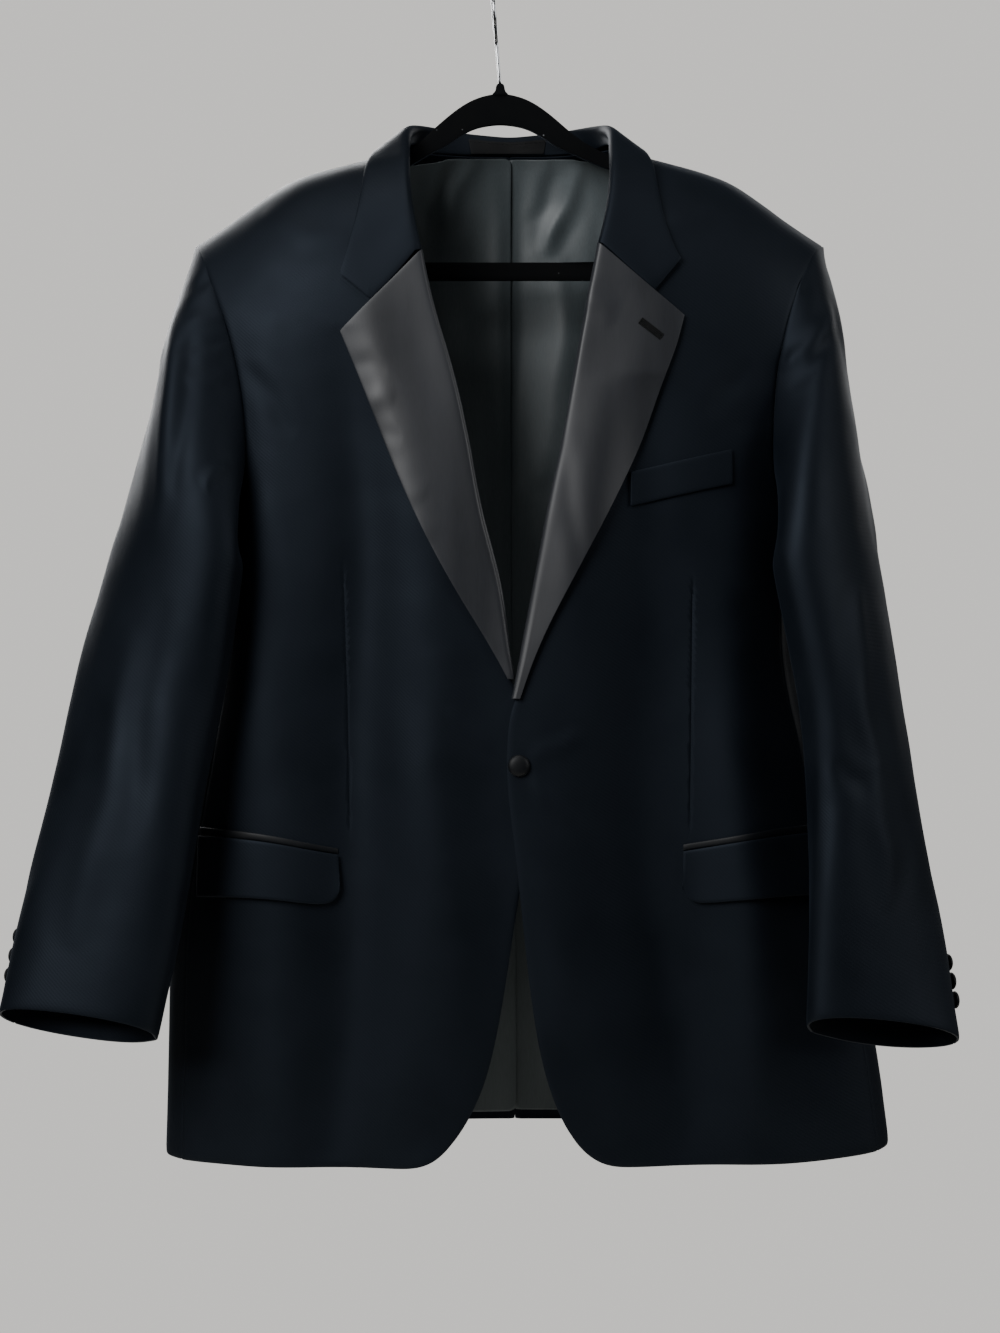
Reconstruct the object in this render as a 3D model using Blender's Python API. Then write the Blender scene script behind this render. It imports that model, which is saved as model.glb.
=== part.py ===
"""Single-breasted tuxedo jacket, buttoned once, on a slim velvet hanger.

Metres, +Z up, +X to the wearer's left, -Y to the front. The origin is the inside of the
hook's top, where a rail carries the hanger.

The body is one smooth surface that hangs from the shoulder ridge. A place on it is an angle
(0 at the centre front, pi at the centre back) and a drop (distance down the cloth from the
ridge). Every body panel is a grid of such places, and what lies on a panel is made from the
panel's own points, moved out. "out" is a distance from the jacket's centre line towards the
piece's own side, and "side" is -1 for the wearer's right and +1 for the wearer's left.
"""

import math

import bmesh
import bpy
import numpy as np

RIGHT = -1
LEFT = 1
SIDES = {RIGHT: "right", LEFT: "left"}

# Cloth walls and gaps
WOOL = 0.0022
SATIN = 0.0020
COLLAR_WALL = 0.0022
SLEEVE_WALL = 0.0022
FLAP_WALL = 0.0020
LINING_WALL = 0.0010
SEAM_GAP = 0.0003
LAYER_GAP = 0.0008
PIECE_LIFT = 0.0011

# Back lining: how far its edges stop short of the back's, in rows and columns, and its folds
LINING_NECK = 0.06
LINING_SHOULDER = 0.60
LINING_HEM = 0.20
LINING_SIDE = 0.25
LINING_FOLD = 0.0035
LINING_FOLD_PITCH = 0.075
LINING_FOLD_SLANT = 0.16
LINING_FOLD_SHIFT = 0.1
LINING_FOLD_TOP = 0.06
LINING_FOLD_FADE = 0.12
LINING_PLEAT = 0.03

# Body surface
ARCH = 0.12
POWER = 2.6
FOLD_FADE = 0.4
LAP = 0.0040
LAP_WIDTH = 0.055
LAP_TOP = -0.530
LAP_FULL = -0.600

NECK_ROW = 4
NECK_STEP = 0.004
YOKE_BOTTOM = -0.432
BACK_YOKE_SHARE = 0.385
SIDE_FLARE = 0.02

# Grid counts
YOKE_ROWS = 9
SKIRT_ROWS = 11
LAPEL_END_ROWS = 3
FRONT_COLUMNS = 13
SIDE_COLUMNS = 5
BACK_COLUMNS = 9
NECK_COLUMNS = 3
CAP_ROWS = 7
ARM_ROWS = 10
LAPEL_ROWS = 13
LAPEL_COLUMNS = 6
COLLAR_STEPS = 10
JET_COLUMNS = 11
FLAP_COLUMNS = 9
FLAP_ROWS = 4
WELT_COLUMNS = 7
WELT_ROWS = 2
LABEL_COLUMNS = 8
BUTTON_SEGMENTS = (14, 7)
HANGER_COLUMNS = 31
HOOK_STEPS = 22
STEM_STEPS = 5
FINE = 80

# Rolled edges of lapels and collar
ROLL_RADIUS = 0.0045
ROLL_SHARE = 0.45
ROLL_TURNS = (90, 128, 166, 210)
COLLAR_ROLL = 0.0052
EDGE_TUCK = 0.0050
TUCK_FADE = 0.012
COLLAR_GAP = 0.0014

# Neck label
LABEL_X = 0.0133
LABEL_WIDTH = 0.066
LABEL_WALL = 0.0008
LABEL_SHARES = (0.06, 0.5, 0.94)

# Buttons: diameter and thickness, the front one's place, the cuff ones' spacing
FRONT_BUTTON = (0.019, 0.0058)
CUFF_BUTTON = (0.0150, 0.0042)
BUTTON_OUT = 0.0045
BUTTON_Z = -0.6560
BUTTON_LIFT = 0.0005
DOME = 0.70
CUFF_BUTTONS = 3
CUFF_BUTTON_UP = 0.034
CUFF_BUTTON_PITCH = 0.0160
CUFF_BUTTON_TURN = -80.0
SMALL_TURN = 2.0

# Hanger
HANGER_X = 0.007
HANGER_REACH = 0.2225
HANGER_DEPTH = 0.005
HANGER_GAP = 0.0031
HANGER_SPREAD = 1.15
UNDER_FROM = 0.085
UNDER_FULL = 0.098
BAR_TOP = -0.2320
BAR_BOTTOM = -0.2470
END_BOTTOM = 0.006
END_INNER_TOP = 0.016
END_INNER_BAR = 0.020
HOOK_WIRE = 0.0034
HOOK_RADIUS = 0.020
HOOK_TURNS = (-25, 215)
STEM_DROP = 0.006


def table(columns, *rows):
    """Return a small table as arrays under its column names."""
    return {name: np.array([row[i] for row in rows]) for i, name in enumerate(columns.split())}


# The body's rounded sections: centre line, half width on each side, depth before and behind
BODY = table(
    "z centre right left front back",
    (-0.10, 0.0148, 0.330, 0.330, 0.090, 0.058),
    (-0.22, 0.0148, 0.322, 0.322, 0.094, 0.062),
    (-0.30, 0.0148, 0.300, 0.300, 0.096, 0.068),
    (-0.38, 0.0148, 0.272, 0.272, 0.097, 0.070),
    (-0.45, 0.0148, 0.252, 0.248, 0.098, 0.070),
    (-0.56, 0.0160, 0.2480, 0.236, 0.095, 0.066),
    (-0.61, 0.0168, 0.2580, 0.2470, 0.0935, 0.064),
    (-0.66, 0.0175, 0.2680, 0.2555, 0.092, 0.062),
    (-0.80, 0.0190, 0.2925, 0.2845, 0.088, 0.060),
    (-0.90, 0.0196, 0.2950, 0.308, 0.084, 0.058),
    (-1.00, 0.0200, 0.298, 0.320, 0.080, 0.058),
)

# Top line of the shoulders, rising to the neck
RIDGE = table(
    "out z",
    (0.000, -0.0850),
    (0.030, -0.0900),
    (0.055, -0.1060),
    (0.075, -0.1240),
    (0.088, -0.1345),
    (0.1155, -0.1421),
    (0.183, -0.1612),
    (0.205, -0.1745),
    (0.2367, -0.1978),
    (0.268, -0.2185),
    (0.340, -0.2700),
)

# Hanging folds of the body: a soft ridge (or a trough, below zero) down the cloth
FOLDS = table(
    "side face out width height top bottom",
    (RIGHT, 1, 0.070, 0.026, 0.006, -0.52, -1.05),
    (RIGHT, 1, 0.140, 0.032, -0.005, -0.48, -1.05),
    (RIGHT, 1, 0.205, 0.030, 0.005, -0.30, -1.05),
    (LEFT, 1, 0.060, 0.030, 0.003, -0.60, -1.05),
    (LEFT, 1, 0.150, 0.032, -0.005, -0.50, -1.05),
    (LEFT, 1, 0.218, 0.036, 0.006, -0.45, -1.05),
    (RIGHT, -1, 0.060, 0.034, 0.006, -0.30, -1.05),
    (RIGHT, -1, 0.150, 0.036, -0.005, -0.38, -1.05),
    (LEFT, -1, 0.075, 0.036, 0.005, -0.34, -1.05),
    (LEFT, -1, 0.165, 0.034, -0.006, -0.30, -1.05),
)

# Where the front's inner edge runs: the lapel's roll line, then the buttoned edge and cutaway
EDGE = {
    RIGHT: table(
        "out z",
        (0.0838, -0.163),
        (0.0780, -0.200),
        (0.0712, -0.238),
        (0.0620, -0.281),
        (0.0475, -0.329),
        (0.0328, -0.393),
        (0.0226, -0.450),
        (0.0068, -0.511),
        (-0.0020, -0.586),
        (-0.0125, -0.620),
        (-0.0165, -0.660),
        (-0.0150, -0.700),
        (-0.0022, -0.765),
        (0.0085, -0.838),
        (0.0193, -0.8966),
        (0.0323, -0.9416),
        (0.0420, -0.9590),
        (0.0542, -0.9719),
    ),
    LEFT: table(
        "out z",
        (0.0837, -0.163),
        (0.0780, -0.200),
        (0.0712, -0.2325),
        (0.0620, -0.281),
        (0.0530, -0.329),
        (0.0424, -0.393),
        (0.0306, -0.450),
        (0.0183, -0.511),
        (0.0035, -0.586),
        (-0.0040, -0.623),
        (-0.0063, -0.655),
        (-0.0007, -0.708),
        (0.0051, -0.765),
        (0.0140, -0.855),
        (0.0241, -0.912),
        (0.0361, -0.9485),
        (0.0446, -0.9634),
    ),
}

# Hem from the cutaway's corner round to the centre back
HEM = {
    RIGHT: table(
        "angle z",
        (9.0, -0.9719),
        (12.5, -0.9810),
        (16.0, -0.9860),
        (40.0, -0.9865),
        (90.0, -0.9875),
        (140.0, -0.9780),
        (180.0, -0.9730),
    ),
    LEFT: table(
        "angle z",
        (6.6, -0.9634),
        (9.5, -0.9752),
        (13.5, -0.9845),
        (40.0, -0.9835),
        (90.0, -0.9780),
        (140.0, -0.9750),
        (180.0, -0.9730),
    ),
}

# The armhole, from the shoulder point down the front, under the arm and up the back.
# "turn" is the place round the sleeve; outward, forward and down give the sleeve's start.
ARMHOLE = table(
    "turn face right left z outward forward down",
    (-10, 1, 0.2680, 0.2680, -0.2185, 0.30, 0.00, 0.95),
    (16, 1, 0.2560, 0.2510, -0.2362, 0.42, 0.25, 0.80),
    (40, 1, 0.2400, 0.2330, -0.2737, 0.50, 0.38, 0.65),
    (60, 1, 0.2260, 0.2210, -0.3169, 0.46, 0.45, 0.65),
    (76, 1, 0.2175, 0.2165, -0.3600, 0.32, 0.52, 0.70),
    (90, 1, 0.2150, 0.2150, -0.3950, 0.12, 0.62, 0.75),
    (104, 1, 0.2190, 0.2175, -0.4280, 0.05, 0.78, 0.60),
    (128, 1, 0.2345, 0.2345, -0.4520, 0.40, 0.80, 0.25),
    (175, 1, 0.2480, 0.2480, -0.4620, 1.00, 0.00, 0.10),
    (222, -1, 0.2360, 0.2360, -0.4480, 0.75, -0.35, 0.45),
    (246, -1, 0.2350, 0.2350, -0.4050, 0.55, -0.35, 0.70),
    (272, -1, 0.2400, 0.2400, -0.3450, 0.55, -0.40, 0.65),
    (298, -1, 0.2510, 0.2510, -0.2900, 0.52, -0.38, 0.65),
    (326, -1, 0.2610, 0.2610, -0.2450, 0.42, -0.25, 0.80),
    (350, -1, 0.2680, 0.2680, -0.2185, 0.30, 0.00, 0.95),
)
FRONT_SEAM_TURN = 128
BACK_SEAM_TURN = 222
FORE_TURN = 128
HIND_TURN = 266

# Sleeve sections under the armhole: centre, half length and half breadth, and how far the
# long axis has turned from front-to-back towards the body
SLEEVE = {
    RIGHT: table(
        "z out y long short turn twist",
        (-0.500, 0.2640, -0.058, 0.080, 0.041, 42, 0),
        (-0.587, 0.2805, -0.064, 0.078, 0.041, 50, 0),
        (-0.653, 0.2925, -0.075, 0.075, 0.038, 56, -3),
        (-0.717, 0.3033, -0.090, 0.072, 0.035, 64, -8),
        (-0.780, 0.3142, -0.105, 0.070, 0.032, 73, -14),
        (-0.862, 0.3296, -0.122, 0.066, 0.028, 80, -22),
    ),
    LEFT: table(
        "z out y long short turn twist",
        (-0.500, 0.2762, -0.067, 0.080, 0.037, 28, 0),
        (-0.587, 0.2915, -0.068, 0.079, 0.0365, 26, 0),
        (-0.653, 0.3005, -0.075, 0.076, 0.0365, 31, 0),
        (-0.717, 0.3062, -0.088, 0.073, 0.0345, 40, 0),
        (-0.780, 0.3108, -0.102, 0.071, 0.031, 52, 0),
        (-0.868, 0.3125, -0.120, 0.069, 0.028, 68, 0),
    ),
}
SLEEVE_POWER = 2.2
CAP_FULLNESS = {RIGHT: 1.18, LEFT: 0.75}
SLEEVE_SEAM = 0.0002
SIDE_TILT = 1.0
BACK_TILT = 2.5
TILT_FADE = 0.12
CREASE_FADE = 0.25
LOOK_BELOW = 0.004

# Creases of the sleeves: ridges and troughs across a place (turn, z)
SLEEVE_FOLDS = table(
    "side turn z across along height slant",
    (RIGHT, 20, -0.345, 16, 0.090, 0.004, 0.0),
    (RIGHT, 48, -0.360, 12, 0.080, -0.005, 0.0),
    (RIGHT, 70, -0.600, 30, 0.030, -0.004, 0.0010),
    (LEFT, 48, -0.330, 26, 0.030, -0.006, 0.0016),
    (LEFT, 60, -0.390, 26, 0.026, 0.004, 0.0016),
    (LEFT, 60, -0.655, 30, 0.022, -0.005, 0.0012),
    (RIGHT, 250, -0.600, 34, 0.030, -0.004, 0.0),
    (LEFT, 250, -0.640, 34, 0.030, -0.004, 0.0),
)

# Lapel outer edge below its tip
LAPEL_EDGE = {
    RIGHT: table(
        "out z",
        (0.1372, -0.3043),
        (0.1327, -0.3148),
        (0.1146, -0.3596),
        (0.0944, -0.4109),
        (0.0712, -0.4626),
        (0.0383, -0.5243),
        (0.0190, -0.5560),
        (0.0034, -0.5860),
    ),
    LEFT: table(
        "out z",
        (0.1410, -0.2914),
        (0.1381, -0.3059),
        (0.1236, -0.3439),
        (0.1071, -0.3931),
        (0.0889, -0.4319),
        (0.0604, -0.4860),
        (0.0265, -0.5498),
        (0.0135, -0.5800),
        (0.0060, -0.6020),
    ),
}
LAPEL_END = {RIGHT: -0.586, LEFT: -0.602}

# The notch: where the gorge seam leaves the roll, the notch and the collar's tip
GORGE = {RIGHT: (0.0712, -0.2380), LEFT: (0.0712, -0.2325)}
NOTCH_SHARE = {RIGHT: 0.62, LEFT: 0.66}
COLLAR_TIP = {RIGHT: (0.1380, -0.2575), LEFT: (0.1388, -0.2455)}

# Collar stations from the centre back to the gorge: the neck seam, the fold and the fall's
# edge. "face" is -1 behind the shoulder ridge and 1 before it.
COLLAR = table(
    "face base_out base_z base_lift fold_out fold_y fold_z edge_out edge_z",
    (-1, 0.0000, -0.1310, -0.0022, 0.0000, 0.055, -0.1115, 0.0000, -0.1580),
    (-1, 0.0300, -0.1315, -0.0022, 0.0330, 0.052, -0.1090, 0.0450, -0.1580),
    (-1, 0.0550, -0.1320, -0.0022, 0.0560, 0.042, -0.1075, 0.0800, -0.1560),
    (-1, 0.0750, -0.1335, -0.0022, 0.0700, 0.024, -0.1095, 0.1010, -0.1480),
    (1, 0.0850, -0.1345, -0.0022, 0.0800, 0.003, -0.1155, 0.1125, -0.1413),
    (1, 0.0860, -0.1400, -0.0040, 0.0835, -0.022, -0.1290, 0.1145, -0.1468),
    (1, 0.0885, -0.1560, -0.0062, 0.0835, -0.048, -0.1500, 0.1190, -0.1636),
    (1, 0.0890, -0.1740, -0.0070, 0.0825, -0.066, -0.1700, 0.1205, -0.1810),
    (1, 0.0860, -0.2030, -0.0070, 0.0790, -0.083, -0.2000, 0.1250, -0.2122),
    (1, 0.0784, -0.2380, -0.0070, 0.0712, -0.095, -0.2380, 0.1380, -0.2575),
)
COLLAR_RAISE = 0.0022
ROLLED_FROM = 6
NOTCH_EASE = 1.6
FALL_SHARES = (0.25, 0.5, 0.75, 1.0)
ROLL_ARC = (180, 135, 90, 45, 0)

# Hip pockets, breast welt: corners as out and height
POCKET = {
    RIGHT: table(
        "out top",
        (0.1440, -0.7250),
        (0.1730, -0.7190),
        (0.2000, -0.7135),
        (0.2270, -0.7105),
        (0.2590, -0.7095),
    ),
    LEFT: table(
        "out top",
        (0.1385, -0.7215),
        (0.1600, -0.7175),
        (0.1900, -0.7120),
        (0.2200, -0.7085),
        (0.2600, -0.7065),
    ),
}
# Heights of the jets and flaps at their inner and outer ends
JET_HEIGHT = {RIGHT: (0.0045, 0.0068), LEFT: (0.0050, 0.0064)}
FLAP_HEIGHT = {RIGHT: (0.0420, 0.0500), LEFT: (0.0440, 0.0520)}
FLAP_CORNER = 0.014
CORNER_STEPS = (0.0, 0.12, 0.4)
FLAP_SWING = 0.0018
JET_WALL = 0.0012
WELT_LIFT = 0.0006
WELT_INNER = (0.0985, -0.4180)
WELT_OUTER = (0.180, -0.3990)
WELT_HEIGHT = 0.028

# The hanger's arch at the neck, and the height of its frame along an arm
HANGER_ARCH = table(
    "out z",
    (0.0000, -0.0830),
    (0.0055, -0.0832),
    (0.0065, -0.0880),
    (0.0190, -0.0914),
    (0.0320, -0.0982),
    (0.0450, -0.1075),
    (0.0550, -0.1178),
    (0.0630, -0.1242),
    (0.0770, -0.1335),
    (0.0910, -0.1400),
    (0.1100, -0.1460),
)
HANGER_BAND = table(
    "share height",
    (0.000, 0.0310),
    (0.029, 0.0265),
    (0.086, 0.0250),
    (0.144, 0.0235),
    (0.200, 0.0245),
    (0.260, 0.0200),
    (0.320, 0.0150),
    (0.420, 0.0125),
    (1.000, 0.0120),
)

MATERIALS = {
    "wool": ((0.012, 0.014, 0.020), 0.85, 0.0),
    "satin": ((0.030, 0.030, 0.034), 0.35, 0.0),
    "lining": ((0.045, 0.050, 0.052), 0.40, 0.0),
    "velvet": ((0.006, 0.006, 0.007), 0.95, 0.0),
    "steel": ((0.55, 0.55, 0.56), 0.25, 1.0),
}


# Curves and the body surface


def smooth_curve(keys, values, at):
    """Return a smooth curve through (keys, values) that never overshoots, flat past its ends."""
    keys = np.asarray(keys, float)
    values = np.asarray(values, float)
    if keys[0] > keys[-1]:
        keys = keys[::-1]
        values = values[::-1]
    at = np.clip(at, keys[0], keys[-1])
    step = np.diff(keys)
    slope = np.diff(values) / step
    tangent = np.zeros_like(values)
    tangent[0] = slope[0]
    tangent[-1] = slope[-1]
    product = slope[:-1] * slope[1:]
    total = np.where(product > 0, slope[:-1] + slope[1:], 1.0)
    tangent[1:-1] = np.where(product > 0, 2 * product / total, 0.0)
    i = np.clip(np.searchsorted(keys, at, side="right") - 1, 0, len(step) - 1)
    u = (at - keys[i]) / step[i]
    start = values[i] * (1 + 2 * u) * (1 - u) ** 2 + tangent[i] * step[i] * u * (1 - u) ** 2
    end = values[i + 1] * u * u * (3 - 2 * u) - tangent[i + 1] * step[i] * u * u * (1 - u)
    return start + end


def ease(value):
    """Return a soft step from 0 to 1."""
    value = np.clip(value, 0.0, 1.0)
    return value * value * (3 - 2 * value)


def unit(vectors):
    """Return the vectors at length 1."""
    return vectors / np.linalg.norm(vectors, axis=-1, keepdims=True)


def body_column(name, z):
    """Return one column of the body table at a height."""
    return smooth_curve(BODY["z"], BODY[name], z)


def ridge(out):
    """Return the height of the shoulder ridge at a distance from the centre line."""
    return smooth_curve(RIDGE["out"], RIDGE["z"], np.abs(out))


def fold_height(side, out, z, face):
    """Return how far the hanging folds and the lap push the cloth out."""
    height = np.zeros_like(out)
    for i in range(len(FOLDS["side"])):
        if FOLDS["side"][i] != side:
            continue
        reach = FOLDS["top"][i] - FOLDS["bottom"][i]
        fade = ease((FOLDS["top"][i] - z) / (FOLD_FADE * reach))
        across = np.exp(-(((out - FOLDS["out"][i]) / FOLDS["width"][i]) ** 2))
        height = height + np.where(face == FOLDS["face"][i], FOLDS["height"][i] * across * fade, 0)
    if side == LEFT:
        lapped = ease((LAP_WIDTH - out) / LAP_WIDTH) * ease((LAP_TOP - z) / (LAP_TOP - LAP_FULL))
        height = height + np.where(face > 0, LAP * lapped, 0)
    return height


def torso(side, angle, drop):
    """Return points of the body's outer cloth surface."""
    angle, drop = np.broadcast_arrays(np.asarray(angle, float), np.asarray(drop, float))
    bent = np.minimum(drop / ARCH, math.pi / 2)
    fall = ARCH * (1 - np.cos(bent)) + np.maximum(drop - ARCH * math.pi / 2, 0)
    sideways = np.sin(angle) / superellipse(angle, POWER)
    forward = np.cos(angle) / superellipse(angle, POWER)
    z = RIDGE["z"][NECK_ROW] - fall
    for _ in range(10):
        out = body_column(SIDES[side], z) * sideways
        z = ridge(out) - fall
    face = np.where(forward > 0, 1, -1)
    depth = np.where(face > 0, body_column("front", z), body_column("back", z))
    folds = fold_height(side, out, z, face) * np.sqrt(np.abs(forward)) * face
    y = -(forward * depth + folds) * np.sin(bent)
    return np.stack([body_column("centre", z) + side * out, y, z], axis=-1)


def torso_normal(side, angle, drop):
    """Return the outward normals of the body's outer cloth surface."""
    small = 1e-5
    along = torso(side, angle + small, drop) - torso(side, angle - small, drop)
    down = torso(side, angle, drop + small) - torso(side, angle, drop)
    return unit(-side * np.cross(along, down))


def torso_place(side, out, z, face=1):
    """Return the angle and drop of the body point at a distance out and a height."""
    share = np.clip(np.abs(out) / body_column(SIDES[side], z), 0, 1)
    angle = np.sign(out) * np.arctan2(share, (1 - share**POWER) ** (1 / POWER))
    angle = np.where(np.asarray(face) > 0, angle, math.pi - angle)
    fall = np.maximum(ridge(out) - z, 0)
    curved = ARCH * np.arccos(1 - np.minimum(fall, ARCH) / ARCH)
    return np.stack([angle, curved + np.maximum(fall - ARCH, 0)], axis=-1)


def lifted(side, places, lift):
    """Return body points moved out along the surface's normals."""
    angle = places[..., 0]
    drop = places[..., 1]
    lift = np.asarray(lift, float)
    return torso(side, angle, drop) + torso_normal(side, angle, drop) * lift[..., None]


def resampled(points, count):
    """Return count + 1 points evenly spread along a path by its length."""
    lengths = path_lengths(points)
    at = np.linspace(0, lengths[-1], count + 1)
    return np.stack([np.interp(at, lengths, points[:, i]) for i in range(points.shape[1])], axis=1)


def path_lengths(points):
    """Return the distance along a path to each of its points."""
    return np.concatenate([[0], np.cumsum(np.linalg.norm(np.diff(points, axis=0), axis=1))])


def superellipse(angle, power):
    """Return what a rounded section's radius is divided by at an angle."""
    return (np.abs(np.sin(angle)) ** power + np.abs(np.cos(angle)) ** power) ** (1 / power)


def filled_patch(top, bottom, left, right):
    """Return a grid of places between four edges that share their corners."""
    rows = len(left)
    columns = len(top)
    down = np.linspace(0, 1, rows)[:, None, None]
    across = np.linspace(0, 1, columns)[None, :, None]
    edges = (1 - down) * top[None] + down * bottom[None]
    edges = edges + (1 - across) * left[:, None] + across * right[:, None]
    corners = (1 - down) * ((1 - across) * top[0] + across * top[-1])
    corners = corners + down * ((1 - across) * bottom[0] + across * bottom[-1])
    return edges - corners


# Edges shared by the panels, as places on the body surface


def armhole(side, turn):
    """Return the armhole's places at turns round the sleeve."""
    table_places = torso_place(side, ARMHOLE[SIDES[side]], ARMHOLE["z"], ARMHOLE["face"])
    table_places[0, 1] = 0.0
    table_places[-1, 1] = 0.0
    return np.stack(
        [smooth_curve(ARMHOLE["turn"], table_places[:, i], turn) for i in range(2)], axis=-1
    )


def armhole_turns(first, last, count):
    """Return turns that spread the armhole's points evenly between two turns."""
    turns = np.linspace(first, last, FINE)
    places = armhole(RIGHT, turns)
    lengths = path_lengths(torso(RIGHT, places[:, 0], places[:, 1]))
    return np.interp(np.linspace(0, lengths[-1], count + 1), lengths, turns)


FRONT_TURNS = armhole_turns(-10, FRONT_SEAM_TURN, YOKE_ROWS)
SIDE_TURNS = armhole_turns(FRONT_SEAM_TURN, BACK_SEAM_TURN, SIDE_COLUMNS)
BACK_TURNS = armhole_turns(BACK_SEAM_TURN, 350, YOKE_ROWS)


def hem_height(side, angle):
    """Return the hem's height at an angle round the body."""
    return smooth_curve(HEM[side]["angle"], HEM[side]["z"], np.degrees(angle))


def hem_place(side, angle):
    """Return the hem's places at angles round the body."""
    angle = np.asarray(angle, float)
    z = hem_height(side, angle)
    out = body_column(SIDES[side], z) * np.sin(angle) / superellipse(angle, POWER)
    fall = ridge(out) - z
    return np.stack([angle, ARCH * math.pi / 2 + fall - ARCH], axis=-1)


def side_seam(side, turn, rows=SKIRT_ROWS):
    """Return the places of a seam from the armhole to the hem."""
    start = armhole(side, np.array(turn))
    end = hem_place(side, start[0] + SIDE_FLARE * np.sign(math.pi / 2 - start[0]))
    share = np.linspace(0, 1, rows + 1)[:, None]
    return start + (end - start) * share


def edge_place(side, z):
    """Return the places of a front's inner edge, tucked under the lapel's roll."""
    out = smooth_curve(EDGE[side]["z"], EDGE[side]["out"], z)
    tuck = EDGE_TUCK * ease((z - LAPEL_END[side]) / TUCK_FADE + 1)
    return torso_place(side, out + tuck, z)


NECK_OUT = RIDGE["out"][NECK_ROW]
SHOULDER_OUT = ARMHOLE["right"][0]


def shoulder_seam(side, columns, face):
    """Return the places of the shoulder seam from the neck to the armhole."""
    out = np.linspace(NECK_OUT, SHOULDER_OUT, columns + 1)
    places = torso_place(side, out, ridge(out), face)
    places[:, 1] = 0.0
    return places


# Making solids


def cloth_solid(name, outer, inner, material):
    """Make one closed cloth wall between an outer and an inner grid of points."""
    rows, columns = outer.shape[:2]
    mesh = bmesh.new()
    bmesh.ops.create_grid(mesh, x_segments=columns - 1, y_segments=rows - 1, size=1.0)
    place = mesh.verts.layers.int.new("place")
    ordered = sorted(mesh.verts, key=lambda vert: (round(vert.co.y, 6), round(vert.co.x, 6)))
    for i, vert in enumerate(ordered):
        vert[place] = i
    geometry = mesh.verts[:] + mesh.edges[:] + mesh.faces[:]
    grown = bmesh.ops.extrude_face_region(mesh, geom=geometry, use_keep_orig=True)
    outer_points = outer.reshape(-1, 3)
    inner_points = inner.reshape(-1, 3)
    for vert in mesh.verts:
        vert.co = outer_points[vert[place]]
    for vert in grown["geom"]:
        if isinstance(vert, bmesh.types.BMVert):
            vert.co = inner_points[vert[place]]
    bmesh.ops.recalc_face_normals(mesh, faces=mesh.faces[:])
    return finished(name, mesh, material)


def finished(name, mesh, material):
    """Turn a bmesh into a named, smooth-shaded object with its own material."""
    data = bpy.data.meshes.new(name)
    mesh.to_mesh(data)
    mesh.free()
    data.shade_smooth()
    data.set_sharp_from_angle(angle=math.radians(50))
    made = bpy.data.objects.new(name, data)
    bpy.context.scene.collection.objects.link(made)
    made.data.materials.append(new_material(name, material))
    return made


def new_material(name, kind):
    """Return a Principled material of one kind, owned by one object."""
    colour, rough, metal = MATERIALS[kind]
    made = bpy.data.materials.new(name + "_" + kind)
    made.use_nodes = True
    shader = made.node_tree.nodes["Principled BSDF"]
    shader.inputs["Base Color"].default_value = (*colour, 1.0)
    shader.inputs["Roughness"].default_value = rough
    shader.inputs["Metallic"].default_value = metal
    return made


def inset(points, normals, gap, edges):
    """Return a grid whose named edges have moved in along the cloth, for the seams."""
    moved = points.copy()
    views = {
        "top": (moved[0], points[1] - points[0], points[0], normals[0]),
        "bottom": (moved[-1], points[-2] - points[-1], points[-1], normals[-1]),
        "left": (moved[:, 0], points[:, 1] - points[:, 0], points[:, 0], normals[:, 0]),
        "right": (moved[:, -1], points[:, -2] - points[:, -1], points[:, -1], normals[:, -1]),
    }
    for edge in edges:
        target, inward, line, normal = views[edge]
        tangent = unit(np.gradient(line, axis=0))
        inward = inward - tangent * np.sum(inward * tangent, axis=-1, keepdims=True)
        inward = inward - normal * np.sum(inward * normal, axis=-1, keepdims=True)
        target += unit(inward) * gap
    return moved


def panel(name, side, places, wall, material, edges=("top", "bottom", "left", "right"), lift=0.0):
    """Make a body panel from a grid of places."""
    normals = torso_normal(side, places[..., 0], places[..., 1])
    outer = torso(side, places[..., 0], places[..., 1]) + normals * lift
    outer = inset(outer, normals, SEAM_GAP / 2, edges)
    return cloth_solid(name, outer, outer - normals * wall, material)


# The body


def front_places(side):
    """Return the grid of a front, from the shoulder seam to the hem."""
    neck = torso_place(side, np.array([NECK_OUT]), np.array([ridge(NECK_OUT)]))
    neck[0, 1] = 0.0
    end = LAPEL_END[side]
    stops = (ridge(NECK_OUT) - NECK_STEP, YOKE_BOTTOM, end, end - TUCK_FADE, EDGE[side]["z"][-1])
    counts = (YOKE_ROWS, LAPEL_END_ROWS, 1, SKIRT_ROWS - LAPEL_END_ROWS - 1)
    left = neck
    for first, last, count in zip(stops, stops[1:], counts):
        line = np.concatenate([left[-1:], edge_place(side, np.linspace(first, last, FINE))])
        left = np.concatenate([left, spread(side, line, count)[1:]])
    arm = armhole(side, FRONT_TURNS)
    seam = side_seam(side, FRONT_SEAM_TURN)
    right = np.concatenate([arm, seam[1:]])
    top = shoulder_seam(side, FRONT_COLUMNS, 1)
    bottom = hem_place(side, np.linspace(left[-1, 0], right[-1, 0], FRONT_COLUMNS + 1))
    bottom[0] = left[-1]
    bottom[-1] = right[-1]
    return filled_patch(top, bottom, left, right)


def spread(side, places, count):
    """Return places spread evenly by their distance on the body surface."""
    lengths = path_lengths(torso(side, places[:, 0], places[:, 1]))
    at = np.linspace(0, lengths[-1], count + 1)
    return np.stack([np.interp(at, lengths, places[:, i]) for i in range(2)], axis=1)


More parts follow.
